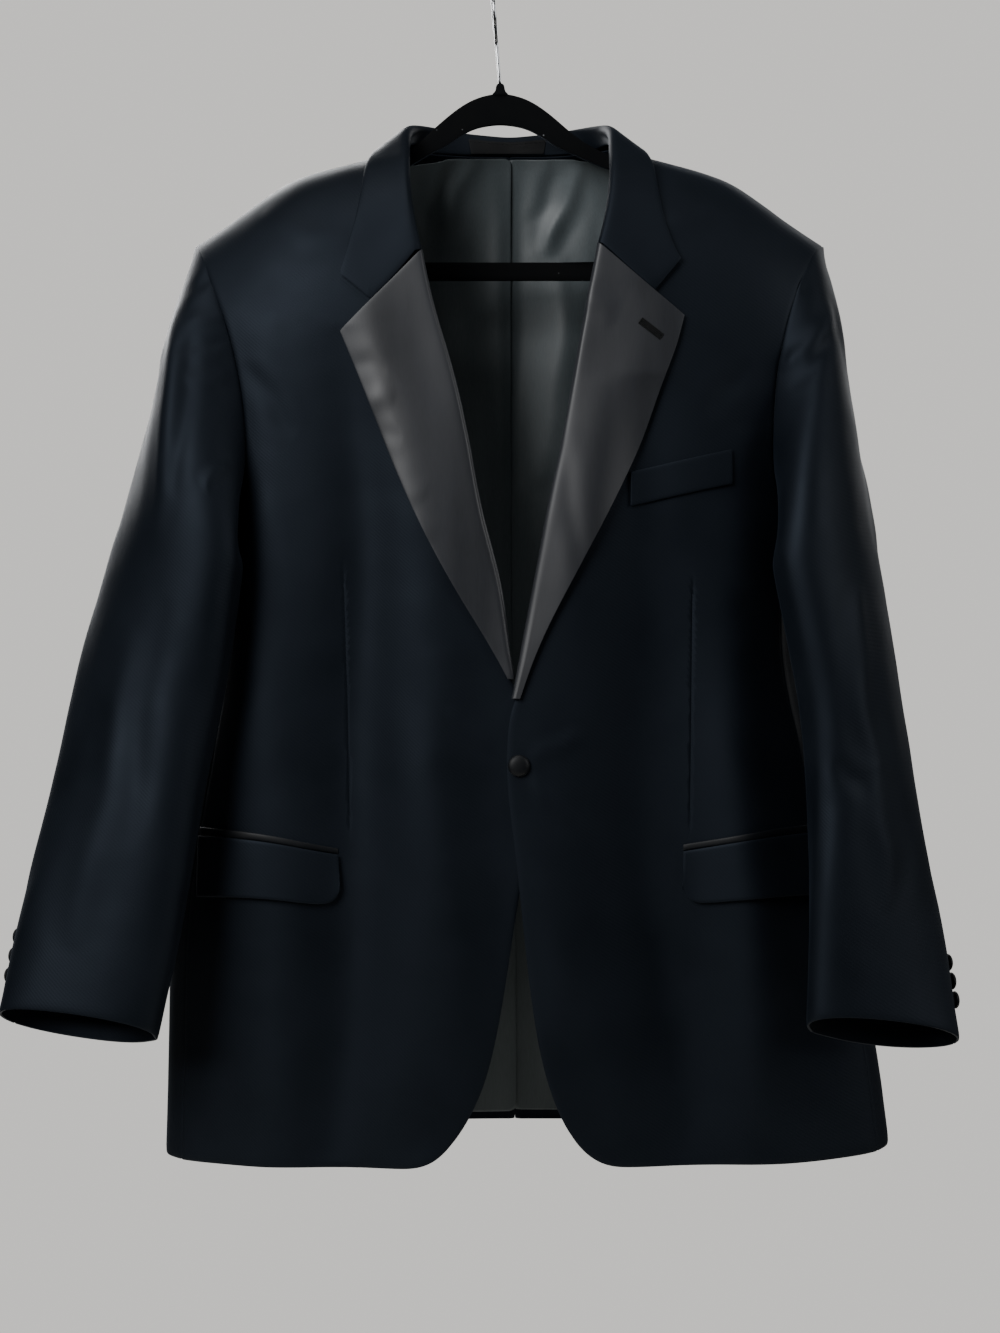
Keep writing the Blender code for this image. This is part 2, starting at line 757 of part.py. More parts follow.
def side_places(side):
    """Return the grid of a side body, from under the arm to the hem."""
    top = armhole(side, SIDE_TURNS)
    left = side_seam(side, FRONT_SEAM_TURN)
    right = side_seam(side, BACK_SEAM_TURN)
    bottom = hem_place(side, np.linspace(left[-1, 0], right[-1, 0], SIDE_COLUMNS + 1))
    return filled_patch(top, bottom, left, right)


def neckline(side, columns):
    """Return the back neckline's places from the centre back to the neck point."""
    back = COLLAR["face"] < 0
    outs = COLLAR["base_out"][back]
    out = np.linspace(0, NECK_OUT, columns + 1)
    z = smooth_curve(outs, COLLAR["base_z"][back], out)
    places = torso_place(side, out, z, -1)
    places[-1, 1] = 0.0
    return places


def back_places(side):
    """Return the grid of a back, from the neckline and shoulder seam to the hem."""
    top = np.concatenate(
        [neckline(side, NECK_COLUMNS), shoulder_seam(side, BACK_COLUMNS - NECK_COLUMNS, -1)[1:]]
    )
    arm = armhole(side, BACK_TURNS)[::-1]
    seam = side_seam(side, BACK_SEAM_TURN)
    right = np.concatenate([arm, seam[1:]])
    centre_end = hem_place(side, math.pi)
    middle = top[0] + (centre_end - top[0]) * BACK_YOKE_SHARE
    upper = np.linspace(top[0], middle, YOKE_ROWS + 1)
    lower = np.linspace(middle, centre_end, SKIRT_ROWS + 1)
    left = np.concatenate([upper, lower[1:]])
    bottom = hem_place(side, np.linspace(math.pi, right[-1, 0], len(top)))
    return filled_patch(top, bottom, left, right)


def make_body():
    """Make the fronts, side bodies and backs."""
    for side, name in SIDES.items():
        panel("front_" + name, side, front_places(side), WOOL, "wool")
        panel("side_" + name, side, side_places(side), WOOL, "wool")
        panel("back_" + name, side, back_places(side), WOOL, "wool")


def make_lining():
    """Make the two halves of the back lining from the backs' points, moved in."""
    for side, name in SIDES.items():
        places = back_places(side)
        points = torso(side, places[..., 0], places[..., 1])
        normals = torso_normal(side, places[..., 0], places[..., 1])
        rows, columns = np.indices(points.shape[:2]).astype(float)
        rows[0] = np.where(columns[0] < NECK_COLUMNS, LINING_NECK, LINING_SHOULDER)
        rows[-1] = rows[-1] - LINING_HEM
        columns[:, -1] = columns[:, -1] - LINING_SIDE
        face = sampled(points, rows, columns)
        toward = unit(sampled(normals, rows, columns))
        sunk = WOOL + LAYER_GAP + lining_folds(side, face)
        outer = face - toward * sunk[..., None]
        outer = inset(outer, toward, SEAM_GAP, ("left",))
        cloth_solid("lining_back_" + name, outer, outer - toward * LINING_WALL, "lining")


def lining_folds(side, points):
    """Return how deep the lining's soft slanting folds stand off the back."""
    out = np.abs(points[..., 0] - body_column("centre", points[..., 2]))
    below = ridge(0.0) - points[..., 2]
    phase = (out - LINING_FOLD_SLANT * below) / LINING_FOLD_PITCH + side * LINING_FOLD_SHIFT
    wave = 0.5 - 0.5 * np.cos(2 * math.pi * phase)
    shown = ease((below - LINING_FOLD_TOP) / LINING_FOLD_FADE) * ease(out / LINING_PLEAT)
    return LINING_FOLD * wave * shown


def sampled(grid, rows, columns):
    """Return a grid read between its points at fractional rows and columns."""
    i = np.clip(rows.astype(int), 0, grid.shape[0] - 2)
    j = np.clip(columns.astype(int), 0, grid.shape[1] - 2)
    u = (rows - i)[..., None]
    v = (columns - j)[..., None]
    above = grid[i, j] * (1 - v) + grid[i, j + 1] * v
    below = grid[i + 1, j] * (1 - v) + grid[i + 1, j + 1] * v
    return above * (1 - u) + below * u


# Sleeves


def sleeve_section(side, turn, z):
    """Return the sleeve's points round a level section."""
    rows = SLEEVE[side]
    column = {name: smooth_curve(rows["z"], rows[name], z) for name in rows if name != "z"}
    swing = np.radians(column["turn"])
    bearing = np.radians(turn + column["twist"])
    round_by = superellipse(bearing, SLEEVE_POWER)
    long = column["long"] * np.sin(bearing) / round_by
    short = column["short"] * np.cos(bearing) / round_by
    out = column["out"] - long * np.sin(swing) + short * np.cos(swing)
    y = column["y"] - long * np.cos(swing) - short * np.sin(swing)
    lean = np.stack([side * slope_of(rows, "out", z), slope_of(rows, "y", z)], axis=-1)
    offset = np.stack([side * (out - column["out"]), y - column["y"]], axis=-1)
    tilt = ease((rows["z"][0] - z) / TILT_FADE)
    height = z - tilt * np.sum(lean * offset * [SIDE_TILT, BACK_TILT], axis=-1)
    points = np.stack([side * out, y, height], axis=-1)
    away = np.stack([side * (out - column["out"]), y - column["y"], np.zeros_like(y)], axis=-1)
    return points + unit(away) * sleeve_folds(side, turn, height)[..., None]


def slope_of(rows, name, z):
    """Return how a sleeve column changes with height."""
    small = 0.02
    z = np.clip(z, rows["z"][-1] + small, rows["z"][0] - small)
    above = smooth_curve(rows["z"], rows[name], z + small)
    below = smooth_curve(rows["z"], rows[name], z - small)
    return (above - below) / (2 * small)


def sleeve_folds(side, turn, z):
    """Return the height of the sleeve's creases."""
    height = np.zeros_like(z)
    for i in range(len(SLEEVE_FOLDS["side"])):
        if SLEEVE_FOLDS["side"][i] != side:
            continue
        off_turn = (turn - SLEEVE_FOLDS["turn"][i] + 180) % 360 - 180
        off_z = z - SLEEVE_FOLDS["z"][i] + SLEEVE_FOLDS["slant"][i] * off_turn
        across = np.exp(-((off_turn / SLEEVE_FOLDS["across"][i]) ** 2))
        along = np.exp(-((off_z / SLEEVE_FOLDS["along"][i]) ** 2))
        height = height + SLEEVE_FOLDS["height"][i] * across * along
    return height


def sleeve_grid(side, turns):
    """Return the sleeve's outer points from the armhole to the cuff, one column a turn."""
    wrapped = np.where(turns > 350, turns - 360, turns)
    places = armhole(side, wrapped)
    start = torso(side, places[:, 0], places[:, 1])
    outward, forward, down = (
        smooth_curve(ARMHOLE["turn"], ARMHOLE[name], wrapped)
        for name in ("outward", "forward", "down")
    )
    leave = unit(np.stack([side * outward, -forward, -down], axis=-1))
    top = SLEEVE[side]["z"][0]
    end = sleeve_section(side, turns, np.full(len(turns), top))
    below = sleeve_section(side, turns, np.full(len(turns), top - LOOK_BELOW))
    arrive = unit(below - end)
    length = np.linalg.norm(end - start, axis=-1, keepdims=True)
    leave = leave * CAP_FULLNESS[side]
    rows = []
    for u in np.linspace(0, 1, CAP_ROWS + 1):
        curve = start * (1 + 2 * u) * (1 - u) ** 2 + leave * length * u * (1 - u) ** 2
        curve = curve + end * u * u * (3 - 2 * u) - arrive * length * u * u * (1 - u)
        outward = unit((curve - np.mean(curve, axis=0)) * [1, 1, 0])
        shown = ease(u / CREASE_FADE) * ease((1 - u) / CREASE_FADE)
        creases = sleeve_folds(side, turns, curve[:, 2]) * shown
        rows.append(curve + outward * creases[:, None])
    for z in np.linspace(top, SLEEVE[side]["z"][-1], ARM_ROWS + 1)[1:]:
        rows.append(sleeve_section(side, turns, np.full(len(turns), z)))
    return np.array(rows)


def loop_difference(points):
    """Return the differences along the last ring of a grid that closes on itself."""
    return np.roll(points, -1, axis=-2) - np.roll(points, 1, axis=-2)


def sleeve_surfaces(side, turns):
    """Return the outer and inner points of a whole sleeve."""
    grid = sleeve_grid(side, turns)
    down = np.gradient(grid, axis=0)
    normals = unit(np.cross(down, loop_difference(grid)))
    toward = grid - grid.mean(axis=1, keepdims=True)
    normals = normals * np.sign(np.median(np.sum(normals * toward, axis=-1)))
    places = armhole(side, turns)
    body_normal = torso_normal(side, places[:, 0], places[:, 1])
    tangent = unit(loop_difference(grid[0]))
    away = unit(np.cross(tangent, body_normal))
    away = away * np.sign(np.median(np.sum(away * (grid[1] - grid[0]), axis=-1)))
    inward = -normals[0]
    toward_panel = np.minimum(np.sum(inward * away, axis=-1, keepdims=True), 0)
    normals[0] = -unit(inward - away * toward_panel)
    grid[0] = grid[0] + away * SEAM_GAP
    return grid, grid - normals * SLEEVE_WALL, normals


def make_sleeves():
    """Make the top and under pieces of both sleeves, split at the fore and hind seams."""
    loop = np.concatenate([FRONT_TURNS, SIDE_TURNS[1:], BACK_TURNS[1:-1]])
    fore = int(np.argmin(np.abs(loop - FORE_TURN)))
    hind = int(np.argmin(np.abs(loop - HIND_TURN)))
    order = np.arange(len(loop))
    pieces = {
        "top": np.concatenate([order[hind:], order[: fore + 1]]),
        "under": order[fore : hind + 1],
    }
    for side, name in SIDES.items():
        outer, inner, normals = sleeve_surfaces(side, loop)
        for piece, columns in pieces.items():
            face = outer[:, columns]
            moved = inset(face, normals[:, columns], SLEEVE_SEAM, ("left", "right"))
            back = inner[:, columns] + moved - face
            cloth_solid("sleeve_%s_%s" % (piece, name), moved, back, "wool")


# Lapels and collar


def rolled_profile(length, wall, lift):
    """Return a rolled leaf's section: (distance, height) of its face and of its back."""
    radius = min(ROLL_RADIUS, ROLL_SHARE * length)
    turns = np.radians(np.array(ROLL_TURNS[::-1], float))
    top = lift + wall
    face_arc = np.stack([radius + radius * np.cos(turns), top - radius + radius * np.sin(turns)], 1)
    inner = radius - wall
    back_arc = np.stack([radius + inner * np.cos(turns), top - radius + inner * np.sin(turns)], 1)
    flat = np.linspace(radius, length, LAPEL_COLUMNS + 1)[1:]
    face_flat = np.stack([flat, np.full_like(flat, top)], 1)
    back_flat = np.stack([flat, np.full_like(flat, lift)], 1)
    return np.concatenate([face_arc, face_flat]), np.concatenate([back_arc, back_flat])


def lapel_line(points, count):
    """Return places along a lapel's edge spread evenly by distance."""
    z = np.linspace(points["z"][0], points["z"][-1], FINE)
    out = smooth_curve(points["z"], points["out"], z)
    return resampled(np.stack([out, z], axis=1), count)


def make_lapels():
    """Make the satin lapels, rolled at the inner edge and lying on the fronts."""
    for side, name in SIDES.items():
        roll_z = np.linspace(GORGE[side][1], LAPEL_END[side], FINE)
        roll_out = smooth_curve(EDGE[side]["z"], EDGE[side]["out"], roll_z)
        roll = resampled(np.stack([roll_out, roll_z], axis=1), LAPEL_ROWS)
        edge = lapel_line(LAPEL_EDGE[side], LAPEL_ROWS)
        face = []
        back = []
        for start, end in zip(roll, edge):
            length = np.linalg.norm(end - start)
            for rows, profile in zip((face, back), rolled_profile(length, SATIN, LAYER_GAP)):
                spots = start + (end - start) * profile[:, :1] / length
                places = torso_place(side, spots[:, 0], spots[:, 1])
                rows.append(lifted(side, places, profile[:, 1]))
        face = np.array(face)
        back = np.array(back)
        normals = unit(face - back)
        shift = inset(face, normals, SEAM_GAP / 2, ("top",)) - face
        cloth_solid("lapel_" + name, face + shift, back + shift, "satin")


def signed_curve(side, at, name):
    """Return places along the collar from its out and z columns, smooth over the ridge."""
    places = torso_place(side, COLLAR[name + "_out"], COLLAR[name + "_z"])
    signed = places * np.stack([np.ones(len(places)), COLLAR["face"]], axis=1)
    stations = np.arange(len(places), dtype=float)
    angle = smooth_curve(stations, signed[:, 0], at)
    drop = smooth_curve(stations, signed[:, 1], at)
    return np.stack([np.where(drop < 0, math.pi - angle, angle), np.abs(drop)], axis=1)


def placed(side, spots, lift):
    """Return points at spots (out, z) of the front, moved out."""
    places = torso_place(side, spots[..., 0], spots[..., 1])
    return lifted(side, places, np.full(places.shape[:-1], lift))


def blend(first, second, share):
    """Return first turned gradually into second."""
    share = np.reshape(share, np.shape(share) + (1,) * (np.ndim(first) - np.ndim(share)))
    return first * (1 - share) + second * share


def collar_half(side):
    """Return one half of the collar's face, a section a row from centre back to gorge."""
    stations = np.arange(len(COLLAR["face"]), dtype=float)
    at = np.linspace(0, stations[-1], 2 * COLLAR_STEPS)
    column = {name: smooth_curve(stations, COLLAR[name], at) for name in COLLAR}
    top = COLLAR_WALL + COLLAR_GAP
    rolled = ease(at - ROLLED_FROM + 1)
    end_share = np.clip(at - stations[-2], 0, 1)
    column["fold_z"] = column["fold_z"] + (GORGE[side][1] - COLLAR["fold_z"][-1]) * end_share
    base = lifted(side, signed_curve(side, at, "base"), column["base_lift"])
    base[:, 2] = base[:, 2] + (GORGE[side][1] - COLLAR["base_z"][-1]) * end_share
    edge_place = signed_curve(side, at, "edge")
    edge = lifted(side, edge_place, np.full(len(at), top))
    centre = body_column("centre", column["fold_z"])
    standing = np.stack(
        [centre + side * column["fold_out"], column["fold_y"], column["fold_z"]], axis=1
    )
    spot = np.stack([column["fold_out"], column["fold_z"]], axis=1)
    edge_spot = np.stack([column["edge_out"], column["edge_z"]], axis=1)
    begin = spot + unit(edge_spot - spot) * COLLAR_ROLL
    rolling = placed(side, spot, top - COLLAR_ROLL)
    rolled_rise = unit(rolling - placed(side, begin, top - COLLAR_ROLL))
    rise = unit(blend(unit(standing - edge), rolled_rise, rolled))
    edge_normal = torso_normal(side, edge_place[:, 0], edge_place[:, 1])
    spot_place = torso_place(side, spot[:, 0], spot[:, 1])
    spot_normal = torso_normal(side, spot_place[:, 0], spot_place[:, 1])
    normal = unit(blend(edge_normal, spot_normal, rolled))
    outward = unit(normal - rise * np.sum(normal * rise, axis=-1, keepdims=True))
    centre = blend(standing, rolling, rolled) - rise * COLLAR_ROLL
    arc = [
        centre + COLLAR_ROLL * (math.cos(turn) * outward + math.sin(turn) * rise)
        for turn in np.radians(ROLL_ARC)
    ]
    upright = COLLAR_RAISE * ease(ROLLED_FROM - 1 - at)[:, None]
    foot = base + unit(arc[0] - base) * upright
    shares = np.array(FALL_SHARES)[None, :, None]
    standing_fall = arc[-1][:, None] * (1 - shares) + edge[:, None] * shares
    spots = begin[:, None] * (1 - shares) + edge_spot[:, None] * shares
    spots = blend(spots, notch_corners(side)[None], end_share**NOTCH_EASE)
    fall = blend(lifted_clear(standing_fall, top), placed(side, spots, top), rolled)
    front = np.stack([foot, (foot + arc[0]) / 2, *arc], axis=1)
    return np.concatenate([front, fall], axis=1)


def notch_corners(side):
    """Return the spots of the collar's end: gorge seam, notch and tip."""
    gorge = np.array(GORGE[side])
    lapel_tip = np.array([LAPEL_EDGE[side]["out"][0], LAPEL_EDGE[side]["z"][0]])
    notch = gorge + (lapel_tip - gorge) * NOTCH_SHARE[side]
    tip = np.array(COLLAR_TIP[side])
    return np.array([(gorge + notch) / 2, notch, (notch + tip) / 2, tip])


def lifted_clear(fall, lift):
    """Return the fall's points moved out to clear the shoulders' surface."""
    x, y, z = (fall[..., i] for i in range(3))
    out = np.abs(x - body_column("centre", z))
    low = ridge(out) - ARCH
    depth = np.where(y < 0, body_column("front", z), body_column("back", z))
    rounding = (1 - np.clip(out / body_column("right", z), 0, 1) ** POWER) ** (1 / POWER)
    y_share = y / (depth * rounding + lift)
    z_share = np.maximum(z - low, 0) / (ARCH + lift)
    grow = np.maximum(1 / np.sqrt(y_share**2 + z_share**2), 1.0)
    return np.stack([x, y * grow, np.where(z > low, low + (z - low) * grow, z)], axis=-1)


def collar_face():
    """Return the whole collar's face and its outward normals, notch to notch."""
    right = collar_half(RIGHT)
    left = collar_half(LEFT)
    face = np.concatenate([right[::-1], left[1:]])
    normals = unit(np.cross(np.gradient(face, axis=0), np.gradient(face, axis=1)))
    top = face[:, 4] - (face[:, 2] + face[:, 6]) / 2
    sign = np.sign(np.sum(normals[:, 4] * top, axis=-1))
    return face, normals * sign[:, None, None]


def make_collar():
    """Make the collar: stand, fold and fall in one wall, notch to notch."""
    face, normals = collar_face()
    face = inset(face, normals, SEAM_GAP, ("top", "bottom", "left"))
    cloth_solid("collar", face, face - normals * COLLAR_WALL, "wool")


def make_label():
    """Make the bare label on the inside of the collar's stand."""
    face, normals = collar_face()
    xs = LABEL_X + LABEL_WIDTH * np.linspace(-0.5, 0.5, LABEL_COLUMNS)
    at = np.interp(xs, face[:, 1, 0], np.arange(len(face)))
    rows = np.array([0.0, 0.5, 1.0])[:, None] + np.zeros(len(xs))
    columns = np.broadcast_to(at, rows.shape)
    span = face[:, 2:3] - face[:, 0:1]
    stand = face[:, 0:1] + span * np.array(LABEL_SHARES)[None, :, None]
    inner = sampled(stand.swapaxes(0, 1), rows * 2, columns)
    toward = sampled(normals[:, :3].swapaxes(0, 1), rows * 2, columns)
    inner = inner + toward * SEAM_GAP
    cloth_solid("neck_label", inner + toward * LABEL_WALL, inner, "satin")


# Pockets and buttons


def strip_places(side, outs, tops, heights, rows):
    """Return places for a strip that hangs from a top line by a height at each column."""
    down = np.linspace(0, 1, rows + 1)[:, None]
    z = tops[None, :] - down * heights[None, :]
    return torso_place(side, np.broadcast_to(outs, z.shape), z)


def even_outs(side, first, last, z, count):
    """Return distances out that are evenly spread by angle round the body."""
    ends = torso_place(side, np.array([first, last]), np.array([z, z]))[:, 0]
    angle = np.linspace(ends[0], ends[1], count)
    return body_column(SIDES[side], z) * np.sin(angle) / superellipse(angle, POWER)


def make_pockets():
    """Make the satin jets and wool flaps of the hip pockets, and the breast welt."""
    for side, name in SIDES.items():
        line = POCKET[side]
        first, last = ends = line["out"][[0, -1]]
        outs = even_outs(side, first, last, line["top"][-1], JET_COLUMNS)
        tops = smooth_curve(line["out"], line["top"], outs)
        places = strip_places(side, outs, tops, np.interp(outs, ends, JET_HEIGHT[side]), 1)
        lie_on("pocket_jet_" + name, side, places, np.zeros(2), (PIECE_LIFT, JET_WALL), "satin")
        corner = first + np.array(CORNER_STEPS) * FLAP_CORNER
        rest = even_outs(side, first + FLAP_CORNER, last, line["top"][-1], FLAP_COLUMNS)
        columns = np.concatenate([corner, rest])
        near = np.clip(1 - (columns - first) / FLAP_CORNER, 0, 1)
        rise = FLAP_CORNER * (1 - np.sqrt(1 - near**2))
        start = smooth_curve(line["out"], line["top"], columns) - SEAM_GAP
        start = start - np.interp(columns, ends, JET_HEIGHT[side])
        heights = np.interp(columns, ends, FLAP_HEIGHT[side]) - rise
        places = strip_places(side, columns, start, heights, FLAP_ROWS)
        swing = np.linspace(0, FLAP_SWING, FLAP_ROWS + 1)
        lie_on("pocket_flap_" + name, side, places, swing, (PIECE_LIFT, FLAP_WALL), "wool")
    outs = np.linspace(WELT_INNER[0], WELT_OUTER[0], WELT_COLUMNS)
    tops = np.linspace(WELT_INNER[1], WELT_OUTER[1], WELT_COLUMNS)
    places = strip_places(LEFT, outs, tops, np.full_like(outs, WELT_HEIGHT), WELT_ROWS)
    swing = np.zeros(WELT_ROWS + 1)
    lie_on("breast_welt", LEFT, places, swing, (WELT_LIFT, FLAP_WALL), "wool")


def lie_on(name, side, places, swing, layers, material):
    """Make a thin piece on a front; swing moves each row further off the cloth."""
    lift, wall = layers
    low = lift + np.asarray(swing)[:, None] + np.zeros(places.shape[1])
    inner = lifted(side, places, low)
    return cloth_solid(name, lifted(side, places, low + wall), inner, material)


def make_button(name, centre, normal, size):
    """Make a domed, covered button whose flat side faces the cloth."""
    diameter, thickness = size
    mesh = bmesh.new()
    around, up_down = BUTTON_SEGMENTS
    bmesh.ops.create_uvsphere(mesh, u_segments=around, v_segments=up_down, radius=1.0)
    across = unit(np.cross([0.0, 0.0, 1.0], normal))
    up = np.cross(normal, across)
    for vert in mesh.verts:
        share = DOME if vert.co.z > 0 else 1 - DOME
        spot = centre + normal * thickness * (vert.co.z * share + 1 - DOME)
        vert.co = spot + (across * vert.co.x + up * vert.co.y) * diameter / 2
    bmesh.ops.recalc_face_normals(mesh, faces=mesh.faces[:])
    return finished(name, mesh, "satin")


def make_buttons():
    """Make the front button and three cuff buttons a sleeve."""
    place = torso_place(LEFT, np.array([BUTTON_OUT]), np.array([BUTTON_Z]))
    normal = torso_normal(LEFT, place[:, 0], place[:, 1])[0]
    spot = lifted(LEFT, place, np.array([BUTTON_LIFT]))[0]
    make_button("button_front", spot, normal, FRONT_BUTTON)
    for side, name in SIDES.items():
        for i in range(CUFF_BUTTONS):
            z = SLEEVE[side]["z"][-1] + CUFF_BUTTON_UP + i * CUFF_BUTTON_PITCH
            make_cuff_button("button_cuff_%s_%d" % (name, i + 1), side, z)


def make_cuff_button(name, side, z):
    """Make one cuff button, on the top sleeve beside the hind seam."""
    turn = CUFF_BUTTON_TURN + np.array([0.0, SMALL_TURN])
    around = sleeve_section(side, turn, np.full(2, z))
    above = sleeve_section(side, turn, np.full(2, z + CUFF_BUTTON_PITCH / 4))
    normal = unit(np.cross(around[1] - around[0], above[0] - around[0]))
    centre = np.array([side * smooth_curve(SLEEVE[side]["z"], SLEEVE[side]["out"], z), 0, z])
    centre[1] = smooth_curve(SLEEVE[side]["z"], SLEEVE[side]["y"], z)
    normal = normal * np.sign(np.dot(normal, around[0] - centre))
    make_button(name, around[0] + normal * SEAM_GAP, normal, CUFF_BUTTON)


# Hanger


def hanger_top(x):
    """Return the top edge of the hanger, just under the shoulders, with an arch at the neck."""
    out = np.abs(x - body_column("centre", BAR_TOP))
    under = ridge(out) - WOOL - HANGER_GAP
    arch = smooth_curve(HANGER_ARCH["out"], HANGER_ARCH["z"], np.abs(x - HANGER_X))
    both = np.where(out > UNDER_FROM, np.minimum(arch, under), arch)
    return np.where(out < UNDER_FULL, both, under)


def make_hanger():
    """Make the velvet-covered frame: two arms, an arch and a crossbar."""
    reach = HANGER_REACH
    across = np.linspace(-1, 1, HANGER_COLUMNS)
    across = np.sign(across) * np.abs(across) ** HANGER_SPREAD
    x_top = HANGER_X + across * reach
    top = np.stack([x_top, hanger_top(x_top)], axis=1)
    band = smooth_curve(HANGER_BAND["share"], HANGER_BAND["height"], np.abs(across))
    x_inner = HANGER_X + across * (reach - END_INNER_TOP)
    inner_top = np.stack([x_inner, np.interp(x_inner, x_top, top[:, 1]) - band], axis=1)
    inner_top[:, 1] = np.maximum(inner_top[:, 1], BAR_TOP + LAYER_GAP)
    x_bottom = HANGER_X + across[::-1] * (reach - END_BOTTOM)
    bottom = np.stack([x_bottom, np.full_like(x_bottom, BAR_BOTTOM)], axis=1)
    x_bar = HANGER_X + across[::-1] * (reach - END_INNER_BAR)
    inner_bottom = np.stack([x_bar, np.full_like(x_bar, BAR_TOP)], axis=1)
    outer = np.concatenate([top, bottom])
    inner = np.concatenate([inner_top, inner_bottom])
    mesh = bmesh.new()
    loops = []
    for loop in (outer, inner):
        verts = [mesh.verts.new((x, -HANGER_DEPTH / 2, z)) for x, z in loop]
        loops.append([mesh.edges.new((verts[i - 1], verts[i])) for i in range(len(verts))])
    bridged = bmesh.ops.bridge_loops(mesh, edges=loops[0] + loops[1])
    grown = bmesh.ops.extrude_face_region(mesh, geom=bridged["faces"], use_keep_orig=True)
    moved = [item for item in grown["geom"] if isinstance(item, bmesh.types.BMVert)]
    bmesh.ops.translate(mesh, verts=moved, vec=(0, HANGER_DEPTH, 0))
    bmesh.ops.recalc_face_normals(mesh, faces=mesh.faces[:])
    finished("hanger", mesh, "velvet")


def make_hook():
    """Make the steel hook, a wire bent in the plane across the shoulders' line."""
    wire = HOOK_WIRE / 2
    loop = HOOK_RADIUS + wire
    points = []
    for angle in np.radians(np.linspace(*HOOK_TURNS, HOOK_STEPS)):
        points.append((loop * math.cos(angle), loop * math.sin(angle) - HOOK_RADIUS))
    last_y, last_z = points[-1]
    stem_top = -HOOK_RADIUS - loop - STEM_DROP
    for u in np.linspace(1 / STEM_STEPS, 1, STEM_STEPS):
        points.append((last_y * (1 - u) ** 2, last_z + (stem_top - last_z) * u))
    points.append((0.0, HANGER_ARCH["z"][0] + SEAM_GAP))
    lean = HANGER_X / points[-1][1]
    curve = bpy.data.curves.new("hanger_hook", "CURVE")
    curve.dimensions = "3D"
    curve.bevel_depth = wire
    curve.bevel_resolution = 2
    curve.use_fill_caps = True
    spline = curve.splines.new("POLY")
    spline.points.add(len(points) - 1)
    for point, (y, z) in zip(spline.points, points):
        point.co = (lean * min(z, 0), y, z, 1)
    made = bpy.data.objects.new("hanger_hook", curve)
    bpy.context.scene.collection.objects.link(made)
    curve.materials.append(new_material("hanger_hook", "steel"))


def main():
    """Build the jacket and its hanger."""
    for old in list(bpy.data.objects):
        bpy.data.objects.remove(old)
    make_body()
    make_lining()
    make_sleeves()
    make_lapels()
    make_collar()
    make_label()
    make_pockets()
    make_buttons()
    make_hanger()
    make_hook()


main()
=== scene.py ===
"""Dressed model of a single-breasted tuxedo jacket on a slim hanger.

Lengths are metres unless a name or comment says millimetres. The origin is
the inside top of the hanger's hook, +Z is up, and the jacket's front faces
-Y, so its wearer's left side lies towards +X.
"""

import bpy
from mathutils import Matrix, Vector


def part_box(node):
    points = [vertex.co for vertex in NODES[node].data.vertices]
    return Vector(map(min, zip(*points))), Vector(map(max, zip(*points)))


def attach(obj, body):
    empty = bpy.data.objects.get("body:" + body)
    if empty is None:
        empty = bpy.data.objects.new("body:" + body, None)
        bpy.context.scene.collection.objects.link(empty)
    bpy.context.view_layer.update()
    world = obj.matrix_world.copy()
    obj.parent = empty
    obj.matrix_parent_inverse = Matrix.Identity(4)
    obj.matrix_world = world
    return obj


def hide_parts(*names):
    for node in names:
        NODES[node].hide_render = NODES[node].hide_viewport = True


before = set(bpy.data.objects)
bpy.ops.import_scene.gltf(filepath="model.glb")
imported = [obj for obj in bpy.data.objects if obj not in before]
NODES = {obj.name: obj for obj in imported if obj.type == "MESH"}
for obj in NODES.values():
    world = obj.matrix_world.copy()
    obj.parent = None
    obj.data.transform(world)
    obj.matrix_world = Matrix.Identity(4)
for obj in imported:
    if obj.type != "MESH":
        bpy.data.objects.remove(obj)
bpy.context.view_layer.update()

import logging
import math
from dataclasses import dataclass, field, replace
from enum import Enum

import bmesh
import bpy
import numpy as np
from bmesh.types import BMesh, BMFace, BMVert
from bpy.types import Material, Node, NodeSocket, NodeTree, Object
from mathutils import Matrix, Vector, kdtree, noise
from mathutils.bvhtree import BVHTree

LOG = logging.getLogger("tuxedo")
# A place in metres, and the outline that a round part is spun from.
Point = tuple[float, float, float]
Profile = tuple[tuple[float, float], ...]

MM = 0.001
ROOT = "root"

# A wall of cloth and its cut rim meet more sharply than any fold bends.
WALL_BREAK = math.radians(50.0)
# Corners of a solid that are the same point lie closer than this.
SAME_POINT = 1e-5
# An outline that turns more than this is a cut corner and stays one.
CUT_CORNER = math.radians(38.0)
# Slow ripples of pressed cloth: strength, and how many come to the metre.
RIPPLES = ((1.0, 17.0), (0.45, 41.0))


class Facing(Enum):
    """Side of the hanging jacket that a thing is seen from."""

    FRONT = (0.0, -1.0, 0.0)
    BACK = (0.0, 1.0, 0.0)
    RIGHT = (-1.0, 0.0, 0.0)
    LEFT = (1.0, 0.0, 0.0)

    def vector(self) -> Vector:
        """Return the direction that the side faces."""
        return Vector(self.value)


class Cut(Enum):
    """How a piece of cloth hangs on the jacket."""

    HUNG = "hung"
    FOLDED = "folded"
    LAID = "laid"


def linear(code: str) -> tuple[float, float, float, float]:
    """Turn an sRGB hex colour into a linear one.

    Args:
        code: Six hex digits, red first.

    Returns:
        Linear red, green, blue and an alpha of 1.
    """
    parts = [int(code[i : i + 2], 16) / 255.0 for i in (0, 2, 4)]
    red, green, blue = (
        c / 12.92 if c <= 0.04045 else ((c + 0.055) / 1.055) ** 2.4 for c in parts
    )
    return red, green, blue, 1.0


